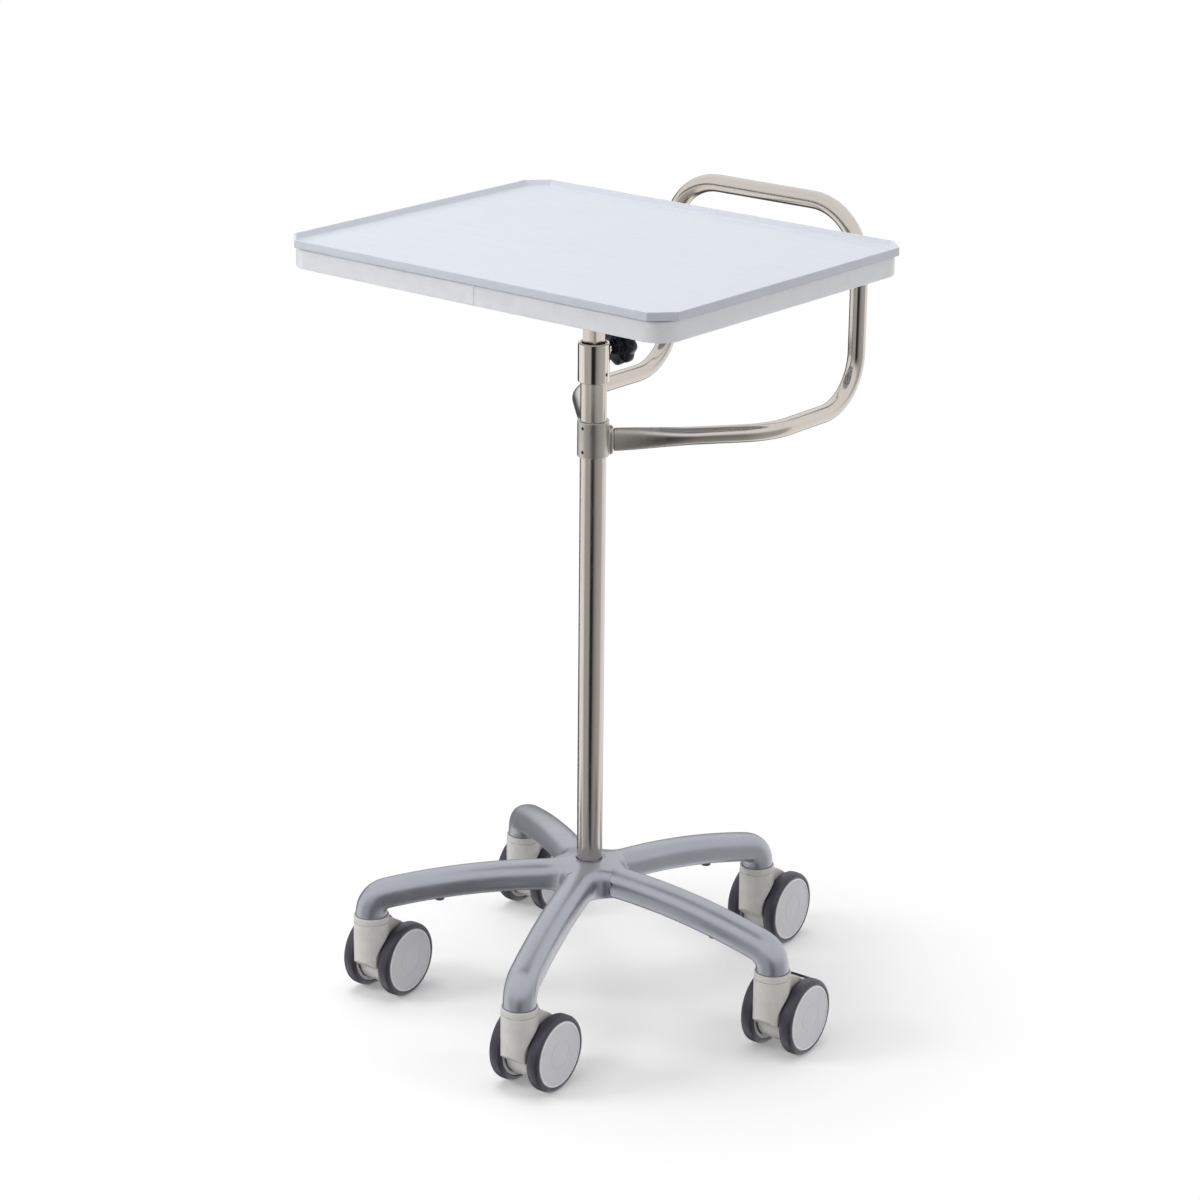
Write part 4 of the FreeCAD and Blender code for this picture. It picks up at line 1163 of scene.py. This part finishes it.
def arm_loops(count):
    """Loops along one arm, from the hub's web to the caster's face."""
    looks = bpy.context.scene.cart_base
    grow = swell(count)
    side = Vector((0, 1, 0))
    half_width, half_height = looks.arm_width / 2 * grow, looks.arm_height / 2 * grow
    end = star_radius() - looks.elbow_run
    face_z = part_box("swivel_rings")[1].z
    loops = []
    steps = 11
    for step in range(steps):
        reach = web_tangent() + (end - web_tangent()) * step / steps
        centre, slope = arm_centre(reach)
        up = Vector((math.sin(slope), 0, math.cos(slope)))
        loops.append(oval(centre, side, up, half_width, half_height, looks.top_form,
                          looks.bottom_form, count))
    start, slope = arm_centre(end)
    swing = math.pi / 2 - slope
    bend_radius = looks.elbow_run / math.cos(slope) / math.tan(swing / 2)
    bend_centre = start - Vector((math.sin(slope), 0, math.cos(slope))) * bend_radius
    bend_steps = 7
    for step in range(bend_steps + 1):
        part = step / bend_steps
        angle = slope + swing * part
        up = Vector((math.sin(angle), 0, math.cos(angle)))
        socket = looks.socket_radius * grow
        loops.append(oval(bend_centre + up * bend_radius, side, up,
                          half_width * (1 - part) + socket * part,
                          half_height * (1 - part) + socket * part,
                          looks.top_form * (1 - part) + 2 * part,
                          looks.bottom_form * (1 - part) + 2 * part, count))
    axis = Vector((1, 0, 0))
    ease = 0.35 * mm
    for radius, lift in ((looks.socket_radius, 2 * ease), (looks.socket_radius, ease),
                         (looks.socket_radius - ease, 0), (looks.socket_radius - 3 * ease, 0),
                         (looks.socket_radius / 2, 0)):
        centre = Vector((star_radius(), 0, face_z + lift))
        loops.append(oval(centre, side, axis, radius * grow, radius * grow, 2.0, 2.0, count))
    return loops


def web_tangent():
    """Distance out at which the hollow between two arms meets an arm's side."""
    looks = bpy.context.scene.cart_base
    half_step = math.pi / len(caster_names)
    return (looks.arm_width / 2 + looks.web_radius) / math.tan(half_step)


def web_places(column, columns, count):
    """Places of one upright row of the hub's wall, from its top edge to its lower edge."""
    looks = bpy.context.scene.cart_base
    grow = swell(count)
    step_angle = 2 * math.pi / len(caster_names)
    part = column / columns
    plan_angle = step_angle * part
    hub_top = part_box("base_casting")[1].z
    hub_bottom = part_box("hub_cover")[0].z
    middle = arm_root_height()
    near_arm = (1 + math.cos(2 * math.pi * part)) / 2
    crest = looks.crest_radius + (web_tangent() - looks.crest_radius) * near_arm ** 1.5
    hollow_centre = Vector((web_tangent(), looks.arm_width / 2 + looks.web_radius, 0))
    hollow_angle = -math.pi / 2 - (math.pi - step_angle) * part
    side = hollow_centre + looks.web_radius * Vector((math.cos(hollow_angle), math.sin(hollow_angle), 0))
    crest_point = Vector((math.cos(plan_angle), math.sin(plan_angle), 0)) * crest
    arm_half = looks.arm_height / 2 * grow
    top_rise = arm_half * near_arm + (hub_top - 1.2 * mm - middle) * (1 - near_arm)
    foot_drop = arm_half * near_arm + (middle - hub_bottom) * (1 - near_arm)
    grown_side = crest_point + (side - crest_point) * (1 + (grow - 1) * near_arm)
    places = []
    rows = count // 2
    for row in range(rows + 1):
        angle = math.pi / 2 - math.pi * row / rows
        form = looks.top_form if angle >= 0 else looks.bottom_form
        out = signed_power(math.cos(angle), 2 / form)
        rise = signed_power(math.sin(angle), 2 / form)
        plan = crest_point + (grown_side - crest_point) * out
        height = middle + (top_rise if rise >= 0 else foot_drop) * rise
        places.append(Vector((plan.x, plan.y, height)))
    return places


def close_hub(bm, upper, rings):
    """Carry an open edge of the hub inwards through rings of (radius, height) and cap it."""
    middle = arm_root_height()
    edges = [edge for edge in bm.edges if edge.is_boundary
             and all((vert.co.z > middle) == upper for vert in edge.verts)]
    row = sorted({vert for edge in edges for vert in edge.verts},
                 key=lambda vert: math.atan2(vert.co.y, vert.co.x) % (2 * math.pi - 1e-4))
    count = len(row)
    grow = swell(count)
    for radius, z in rings:
        places = []
        for index, vert in enumerate(row):
            angle = 2 * math.pi * index / count
            even = Vector((math.cos(angle), math.sin(angle), 0)) * radius * grow
            even.z = z
            places.append(even)
        row, edges = extruded(bm, row, edges, places)
    bmesh.ops.contextual_create(bm, geom=edges)


def star_casting():
    """Five arms that grow out of one hub, with hollow webs between them."""
    looks = bpy.context.scene.cart_base
    count = 24
    columns = 4
    bm = bmesh.new()
    loops = arm_loops(count)
    step_angle = 2 * math.pi / len(caster_names)
    for index in range(len(caster_names)):
        place = Matrix.Rotation(step_angle * index, 3, "Z")
        row = [bm.verts.new(place @ point) for point in loops[0]]
        edges = [bm.edges.new(pair) for pair in zip(row, row[1:] + row[:1])]
        quarter = count // 4
        half_row = [row[(quarter - item) % count] for item in range(count // 2 + 1)]
        half_edges = [bm.edges.get(pair) for pair in zip(half_row, half_row[1:])]
        for loop in loops[1:]:
            row, edges = extruded(bm, row, edges, [place @ point for point in loop])
        bmesh.ops.contextual_create(bm, geom=edges)
        for column in range(1, columns + 1):
            places = [place @ point for point in web_places(column, columns, count)]
            half_row, half_edges = extruded(bm, half_row, half_edges, places)
    bmesh.ops.remove_doubles(bm, verts=bm.verts[:], dist=0.02 * mm)
    hub_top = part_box("base_casting")[1].z
    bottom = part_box("hub_cover")[0].z
    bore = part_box("mast_tube")[1].x + 0.15 * mm
    mouth = bore + 1.2 * mm
    flat = looks.flat_radius
    close_hub(bm, True, [(flat + 3 * mm, hub_top - 0.35 * mm), (flat, hub_top), (mouth + 1.2 * mm, hub_top),
                         (mouth + 0.3 * mm, hub_top), (mouth, hub_top - 0.1 * mm),
                         (bore, hub_top - 1.2 * mm), (bore, hub_top - 1.6 * mm),
                         (bore, hub_top - 24 * mm), (bore - 2 * mm, hub_top - 24 * mm)])
    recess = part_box("hub_cover")[1].x
    close_hub(bm, False, [(recess + 4 * mm, bottom), (recess + 0.8 * mm, bottom),
                          (recess, bottom + 0.5 * mm), (recess, bottom + 9.4 * mm),
                          (recess - 1 * mm, bottom + 10 * mm)])
    tidy_faces(bm)
    bm = subdivided(bm, 2)
    bmesh.ops.rotate(bm, cent=(0, 0, 0), matrix=Matrix.Rotation(base_turn(), 3, "Z"), verts=bm.verts[:])
    return bm


class CART_OT_base(bpy.types.Operator):
    """Model the star base casting"""
    bl_idname = "cart.base"
    bl_label = "Star base"

    def execute(self, context):
        piece(star_casting(), "star_casting", "base", base_silver(), ["base_casting"])
        coat(zinc_steel(), "caster_stems", "swivel_bearings")
        return {"FINISHED"}


# Casters, modelled with the stem on Z and trailing towards +Y, then put in place

def caster_place(name):
    place = joints[name + "_swivel"]["pos_m"]
    return Matrix.Translation((place[0], place[1], 0)) @ Matrix.Rotation(base_turn(), 4, "Z")


def circle_through(first, second, third):
    """Centre and radius of the circle through three points."""
    a, b = second - first, third - first
    double_area = 2 * a.cross(b)
    offset = Vector((b.y * a.length_squared - a.y * b.length_squared,
                     a.x * b.length_squared - b.x * a.length_squared)) / double_area
    return first + offset, offset.length


def arc_points(first, second, third, steps):
    """Points along the arc from first through second to third."""
    centre, radius = circle_through(first, second, third)
    start, middle, end = [math.atan2(*(point - centre).yx) for point in (first, second, third)]
    full = 2 * math.pi
    sweep = (end - start) % full
    if (middle - start) % full > sweep:
        sweep -= full
    return [centre + radius * Vector((math.cos(start + sweep * step / steps),
                                      math.sin(start + sweep * step / steps)))
            for step in range(steps + 1)]


def prism(outline, half_width, edge=0.0, segments=3):
    """Block with an outline in Y and Z, across the mid-plane, its side edges rounded."""
    bm = skinned([[Vector((x, y, z)) for y, z in outline] for x in (-half_width, half_width)])
    if edge:
        side_edges = [item for item in bm.edges
                      if abs(item.verts[0].co.x - item.verts[1].co.x) < merge_distance]
        bmesh.ops.bevel(bm, geom=side_edges, offset=edge, affect="EDGES", segments=segments,
                        profile=0.5, material=-1)
    return bm


def housing_outline():
    """Side view of the body between the wheels: falling shoulder and round lower body."""
    looks = bpy.context.scene.cart_casters
    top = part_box("caster_front_left_housing")[1].z
    axle = Vector((looks.trail, looks.wheel_radius))

    def lower(degrees):
        angle = math.radians(degrees)
        return axle + looks.lower_radius * Vector((math.cos(angle), math.sin(angle)))

    shoulder = arc_points(Vector((looks.shoulder_y, top)), Vector((looks.crest_y, looks.crest_z)),
                          lower(20), 24)
    underside = arc_points(lower(20), lower(-75), lower(-170), 48)
    front = Vector((underside[-1].x, top))
    return shoulder + underside[1:] + [front]


def barrel_shape():
    """Barrel round the stem, sloped underneath and cleared beside the wheels."""
    looks = bpy.context.scene.cart_casters
    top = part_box("caster_front_left_housing")[1].z
    radius, foot, front = looks.barrel_radius, looks.barrel_foot, looks.barrel_front
    bm = turned([(0, foot, 0), (radius, foot, 0), (radius, top, 0.8 * mm), (0, top, 0)], upright, steps=96)
    foot_y = looks.trail - looks.lower_radius + looks.foot_inset
    rise = (front - foot) / (foot_y + radius)
    past, under = 2 * radius, foot - 5 * mm
    slope = prism([(-past, under), (foot_y, under), (foot_y, foot),
                   (-past, foot + rise * (foot_y + past))], past)
    bm = joined(bm, slope, "DIFFERENCE")
    half = looks.body_width / 2
    room = looks.wheel_radius + looks.wheel_clearance
    for side in (1, -1):
        wheel_room = turned([(0, half, 0), (room, half, 0), (room, 2 * half, 0), (0, 2 * half, 0)],
                            along_x(looks.trail, looks.wheel_radius, side), steps=96)
        bm = joined(bm, wheel_room, "DIFFERENCE")
    return bm


def housing_shape(braked):
    looks = bpy.context.scene.cart_casters
    body = prism(housing_outline(), looks.body_width / 2, looks.body_edge)
    bm = joined(body, barrel_shape())
    if braked:
        low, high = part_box("brake_pin")
        pivot = caster_place("caster_right").inverted() @ ((low + high) / 2)
        clear, half = 6.5 * mm, 9.3 * mm
        rear, above = 100 * mm, 120 * mm
        pocket = box_shape((-half, pivot.y - clear, pivot.z - clear), (half, rear, above))
        bm = joined(bm, pocket, "DIFFERENCE")
    return bm


def swivel_ring():
    """Ring between arm and housing, with a lip round the socket."""
    low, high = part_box("swivel_rings")
    radius, bore, lip = 22.6 * mm, 6 * mm, 0.9 * mm
    socket = bpy.context.scene.cart_base.socket_radius + 0.35 * mm
    corners = [(bore, low.z, 0), (radius - 0.2 * mm, low.z, 0.3 * mm), (radius, low.z + 1.2 * mm, 0.4 * mm),
               (radius, high.z, lip), (socket, high.z, 0.3 * mm), (socket, high.z - lip, 0),
               (bore, high.z - lip, 0)]
    return turned(corners, upright, steps=80, arc_steps=3)


def wheel_shape(side):
    """Wheel body: hub, web and rim inside, and a dished cap with a groove and a raised ring outside."""
    looks = bpy.context.scene.cart_casters
    inner, outer, rim = looks.inner_face, looks.outer_face, looks.rim_radius
    groove, ring = 17.6 * mm, 40 * mm
    hub, bore, web = 12 * mm, 5.2 * mm, 6 * mm
    face, dish, shelf, rim_edge = outer - 0.7 * mm, outer - 1.0 * mm, outer - 0.9 * mm, inner + 0.8 * mm
    corners = [(0, face, 0), (groove - 0.8 * mm, face, 0.5 * mm), (groove, face - 0.5 * mm, 0.4 * mm),
               (groove + 0.8 * mm, face, 0.5 * mm), (ring - 2 * mm, dish, 0.4 * mm),
               (ring - 1.1 * mm, dish, 0.3 * mm), (ring - 0.6 * mm, outer, 0.35 * mm),
               (ring + 0.5 * mm, outer, 0.5 * mm), (ring + mm, shelf, 0.2 * mm), (rim, shelf, 0),
               (rim, rim_edge, 0.3 * mm), (rim - 4.5 * mm, rim_edge, 0.6 * mm),
               (rim - 5.2 * mm, outer - web, 1.5 * mm), (hub + 1.5 * mm, outer - web, 1.5 * mm),
               (hub, inner, 0.5 * mm), (bore, inner, 0.3 * mm), (bore, outer - web / 2, 0),
               (0, outer - web / 2, 0)]
    bm = turned(corners, upright, steps=96, arc_steps=4)
    # Mark the raised ring round the wheel face, where the painted highlight goes
    layer = bm.verts.layers.float.new("rim")
    for vert in bm.verts:
        on_highlight_ring = ring - 0.9 * mm < vert.co.xy.length < ring + 0.8 * mm and vert.co.z > outer - 0.3 * mm
        vert[layer] = 1.0 if on_highlight_ring else 0.0
    bmesh.ops.transform(bm, matrix=along_x(looks.trail, looks.wheel_radius, side), verts=bm.verts[:])
    return bm


def tyre_shape(side):
    """Tyre with rounded shoulders and a slightly crowned tread."""
    looks = bpy.context.scene.cart_casters
    inner, outer = looks.inner_face, looks.outer_face - 0.4 * mm
    radius = looks.wheel_radius
    rim, shoulder = looks.rim_radius, looks.tyre_shoulder
    middle = (inner + outer) / 2
    corners = [(rim, inner + 0.8 * mm, 0), (rim + 0.8 * mm, inner, 0.3 * mm),
               (radius - 0.35 * mm, inner, shoulder), (radius, middle, 12 * mm),
               (radius - 0.35 * mm, outer, shoulder), (rim + 0.9 * mm, outer, 0.4 * mm),
               (rim, outer - 0.7 * mm, 0)]
    return turned(corners, along_x(looks.trail, radius, side), steps=112, arc_steps=6)


def pedal_shape():
    """Brake pedal: a ribbed plate on a link with its hub."""
    looks = bpy.context.scene.cart_casters
    low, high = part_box("brake_pin")
    place = caster_place("caster_right")
    pivot = place.inverted() @ ((low + high) / 2)
    slope, plate_length, thick = looks.pedal_slope, looks.pedal_length, 3 * mm
    between_ribs = 0.72 * thick
    near = Vector((pivot.y + thick / 2, pivot.z + 11.5 * mm))
    along = Vector((math.cos(slope), -math.sin(slope)))
    square = Vector((math.sin(slope), math.cos(slope)))

    def on_plate(run, rise):
        return near + along * run + square * rise

    outline = [near, on_plate(plate_length, 0), on_plate(plate_length, between_ribs)]
    rib_count, rib_pitch = 4, 3.6 * mm
    for rib in range(rib_count):
        start = plate_length - 2.5 * mm - rib * rib_pitch
        outline += [on_plate(start, between_ribs), on_plate(start - 0.9 * mm, thick),
                    on_plate(start - 2.4 * mm, thick), on_plate(start - 3.2 * mm, between_ribs)]
    outline += [on_plate(4 * mm, thick), on_plate(0, thick)]
    plate = prism(outline, looks.pedal_width / 2, 0.4 * mm, segments=2)
    link_half, hub_radius, inset = 9 * mm, 5.5 * mm, 2.75 * mm
    link = prism([(pivot.y - inset, pivot.z + inset), (pivot.y + inset, pivot.z - inset),
                  on_plate(plate_length / 3, thick / 2), on_plate(0, thick / 2)], link_half)
    hub = turned([(0, -link_half, 0), (hub_radius, -link_half, 0.6 * mm),
                  (hub_radius, link_half, 0.6 * mm), (0, link_half, 0)],
                 along_x(pivot.y, pivot.z, 1), steps=48)
    bm = joined(joined(plate, link), hub)
    bmesh.ops.transform(bm, matrix=place, verts=bm.verts[:])
    return bm


class CART_OT_casters(bpy.types.Operator):
    """Model the five casters and the brake pedal"""
    bl_idname = "cart.casters"
    bl_label = "Casters"

    def execute(self, context):
        grey, cap, tyre, zinc = caster_grey(), wheel_cap(), tyre_grey(), zinc_steel()
        rings = bmesh.new()
        for name in caster_names:
            place = caster_place(name)
            self.add_copy(rings, swivel_ring(), place)
            body = housing_shape(name == "caster_right")
            bmesh.ops.transform(body, matrix=place, verts=body.verts[:])
            piece(body, name + "_body", name, grey, [name + "_housing"])
            for number, side in ((1, 1), (2, -1)):
                wheel_body = name + "_wheel_" + str(number)
                for shape, ending, material, slot, node in (
                        (wheel_shape(side), "_disc", cap, "wheel_cap", wheel_body),
                        (tyre_shape(side), "_tread", tyre, "tyre_grey", name + "_tyre_" + str(number))):
                    bmesh.ops.transform(shape, matrix=place, verts=shape.verts[:])
                    piece(shape, wheel_body + ending, wheel_body, material, [node])
            coat(zinc, name + "_axle")
        piece(rings, "swivel_collars", "base", grey, ["swivel_rings"])
        piece(pedal_shape(), "pedal", "brake_pedal", pedal_black(), ["brake_pedal"])
        coat(zinc, "brake_pin")
        return {"FINISHED"}

    def add_copy(self, target, shape, place):
        bmesh.ops.transform(shape, matrix=place, verts=shape.verts[:])
        mesh = bpy.data.meshes.new("copy")
        shape.to_mesh(mesh)
        shape.free()
        target.from_mesh(mesh)
        bpy.data.meshes.remove(mesh)


# Floor, light and camera

def mixed_shader(tree, share_of_second, first, second):
    return shader_node(tree, "ShaderNodeMixShader", {0: share_of_second, 1: first.outputs[0],
                                                     2: second.outputs[0]})


def empty_tree(holder):
    """Node tree of a material or world with nothing in it."""
    holder.use_nodes = True
    holder.node_tree.nodes.clear()
    return holder.node_tree


def stage_floor():
    """White floor that keeps the cart's shadow, and is plain white further out."""
    looks = bpy.context.scene.cart_stage
    bm = bmesh.new()
    bmesh.ops.create_grid(bm, x_segments=1, y_segments=1, size=20)
    mesh = bpy.data.meshes.new("stage_floor")
    bm.to_mesh(mesh)
    bm.free()
    floor = bpy.data.objects.new("stage_floor", mesh)
    bpy.context.scene.collection.objects.link(floor)
    material = bpy.data.materials.new("stage_floor")
    tree = empty_tree(material)
    path = shader_node(tree, "ShaderNodeLightPath", {}).outputs
    seen = math_node(tree, "MAXIMUM", path["Is Camera Ray"], path["Is Glossy Ray"])
    seen = math_node(tree, "MAXIMUM", seen, path["Is Transmission Ray"])
    diffuse = shader_node(tree, "ShaderNodeBsdfDiffuse", {"Color": (0.80, 0.80, 0.80, 1)})
    glow = shader_node(tree, "ShaderNodeEmission",
                       {"Strength": math_node(tree, "MULTIPLY", seen, looks.floor_lift)})
    both = shader_node(tree, "ShaderNodeAddShader", {0: diffuse.outputs[0], 1: glow.outputs[0]})
    away = shader_node(tree, "ShaderNodeVectorMath", {0: object_coordinates(tree)}, operation="LENGTH")
    fade = range_node(tree, away.outputs["Value"], looks.fade_start, looks.fade_end,
                      interpolation_type="SMOOTHSTEP")
    plain_white = shader_node(tree, "ShaderNodeEmission", {})
    faded = mixed_shader(tree, math_node(tree, "MULTIPLY", seen, fade), both, plain_white)
    shader_node(tree, "ShaderNodeOutputMaterial", {"Surface": faded.outputs[0]})
    floor.data.materials.append(material)
    floor.visible_glossy = False


def stage_room():
    """Even light from all round; white to the camera, and bands of light and dark in reflections."""
    world = bpy.data.worlds.new("stage_room")
    bpy.context.scene.world = world
    tree = empty_tree(world)
    even, white = [shader_node(tree, "ShaderNodeBackground", {"Color": (1, 1, 1, 1), "Strength": level})
                   for level in (bpy.context.scene.cart_stage.room, 1.0)]
    banded = shader_node(tree, "ShaderNodeBackground", {"Color": room_bands(tree),
                                                        "Strength": bpy.context.scene.cart_bands.peak})
    path = shader_node(tree, "ShaderNodeLightPath", {}).outputs
    shiny = math_node(tree, "MAXIMUM", path["Is Glossy Ray"], path["Is Transmission Ray"])
    unseen = mixed_shader(tree, shiny, even, banded)
    seen = mixed_shader(tree, path["Is Camera Ray"], unseen, white)
    shader_node(tree, "ShaderNodeOutputWorld", {"Surface": seen.outputs[0]})


def room_bands(tree):
    """Colour of the room by direction: upright soft bands like screens round a studio table."""
    bands = bpy.context.scene.cart_bands
    direction = shader_node(tree, "ShaderNodeTexCoord", {}).outputs["Generated"]
    split = shader_node(tree, "ShaderNodeSeparateXYZ", {0: direction}).outputs
    angle = math_node(tree, "ARCTAN2", split["Y"], split["X"])
    ramp = shader_node(tree, "ShaderNodeValToRGB", {0: range_node(tree, angle, -math.pi, math.pi)})
    stops = sorted(((degrees + 180) / 360, level) for degrees, level in bands_round_room())
    elements = ramp.color_ramp.elements
    while len(elements) < len(stops):
        elements.new(0.5)
    for element, (position, level) in zip(elements, stops):
        element.position = position
        tint = level / bands.peak
        element.color = (tint, tint * bands.warmth, tint * bands.warmth ** 2, 1)
    rise = range_node(tree, split["Z"], math.sin(bands.ceiling_start), math.sin(bands.ceiling_full),
                      interpolation_type="SMOOTHSTEP")
    level = bands.ceiling / bands.peak
    return mixed_colour(tree, rise, ramp.outputs["Color"], (level, level, level))


def bands_round_room():
    """Angle round the room, in degrees from +X, and level of each stop of the bands."""
    bands = bpy.context.scene.cart_bands
    camera = math.degrees(bpy.context.scene.cart_stage.azimuth) - 90
    light, wall, shade, dark = bands.light, bands.wall, bands.shade, bands.dark
    rows = [(-178, shade), (-130, shade), (-118, light), (-78, light), (-66, wall),
            (-24, wall), (-13, dark), (7, dark), (21, 0.65 * wall), (50, wall), (84, 1.1 * wall),
            (97, light), (148, light), (170, shade)]
    return [(((camera + offset + 180) % 360) - 180, level) for offset, level in rows]


def soft_lamp(name, place, aim, size, watts):
    lamp = bpy.data.lights.new(name, "AREA")
    lamp.shape = "RECTANGLE"
    lamp.size, lamp.size_y = size
    lamp.energy = watts
    holder = bpy.data.objects.new(name, lamp)
    holder.location = place
    holder.rotation_euler = (Vector(aim) - Vector(place)).to_track_quat("-Z", "Y").to_euler()
    holder.visible_glossy = False
    bpy.context.scene.collection.objects.link(holder)


def stage_lamps():
    soft_lamp("lamp_left", (-2.6, -3.2, 2.6), (0, 0, 0.6), (1.6, 1.6), 85)
    soft_lamp("lamp_right", (3.6, 1.4, 2.2), (0, 0, 0.6), (1.6, 1.6), 26)
    soft_lamp("lamp_top", (-0.4, -0.2, 3.6), (0, 0, 0.5), (2.4, 2.4), 60)


def stage_camera():
    looks = bpy.context.scene.cart_stage
    camera = bpy.data.cameras.new("stage_camera")
    camera.sensor_width = 36
    camera.lens = looks.lens
    camera.shift_x = looks.shift_x
    camera.shift_y = looks.shift_y
    camera.clip_end = 100
    azimuth, elevation, roll = looks.azimuth, looks.elevation, looks.roll
    back = Vector((math.sin(azimuth) * math.cos(elevation), -math.cos(azimuth) * math.cos(elevation),
                   math.sin(elevation)))
    right = Vector((math.cos(azimuth), math.sin(azimuth), 0))
    up = back.cross(right)
    axis_x = right * math.cos(roll) + up * math.sin(roll)
    axis_y = up * math.cos(roll) - right * math.sin(roll)
    holder = bpy.data.objects.new("stage_camera", camera)
    turn_matrix = Matrix((axis_x, axis_y, back)).transposed().to_4x4()
    target = Vector((0, 0, looks.target_height))
    holder.matrix_world = Matrix.Translation(target + back * looks.distance) @ turn_matrix
    bpy.context.scene.collection.objects.link(holder)
    bpy.context.scene.camera = holder


class CART_OT_stage(bpy.types.Operator):
    """Set up the floor, the light and the camera"""
    bl_idname = "cart.stage"
    bl_label = "Stage"

    def execute(self, context):
        context.scene.view_settings.view_transform = "Standard"
        stage_floor()
        stage_room()
        stage_lamps()
        stage_camera()
        return {"FINISHED"}


class CART_PT_panel(bpy.types.Panel):
    """Sidebar panel that lists the cart's operators"""
    bl_idname = "CART_PT_panel"
    bl_label = "Procedure cart"
    bl_space_type = "VIEW_3D"
    bl_region_type = "UI"
    bl_category = "Cart"

    def draw(self, context):
        for operator in operators:
            self.layout.operator(operator.bl_idname)


property_groups = {"cart_tray": TrayLooks, "cart_metal": MetalLooks, "cart_clamp": ClampLooks,
                   "cart_handle": HandleLooks, "cart_base": BaseLooks, "cart_casters": CasterLooks,
                   "cart_stage": StageLooks, "cart_bands": BandLooks}
operators = [CART_OT_tray, CART_OT_mast, CART_OT_clamp, CART_OT_handle, CART_OT_base,
             CART_OT_casters, CART_OT_stage]


def register():
    for name, group in property_groups.items():
        bpy.utils.register_class(group)
        setattr(bpy.types.Scene, name, PointerProperty(type=group))
    for item in operators + [CART_PT_panel]:
        bpy.utils.register_class(item)


def unregister():
    for item in [CART_PT_panel] + operators[::-1]:
        bpy.utils.unregister_class(item)
    for name, group in property_groups.items():
        delattr(bpy.types.Scene, name)
        bpy.utils.unregister_class(group)


def main():
    register()
    bpy.ops.cart.tray()
    bpy.ops.cart.mast()
    bpy.ops.cart.clamp()
    bpy.ops.cart.handle()
    bpy.ops.cart.base()
    bpy.ops.cart.casters()
    bpy.ops.cart.stage()


if __name__ == "__main__":
    main()
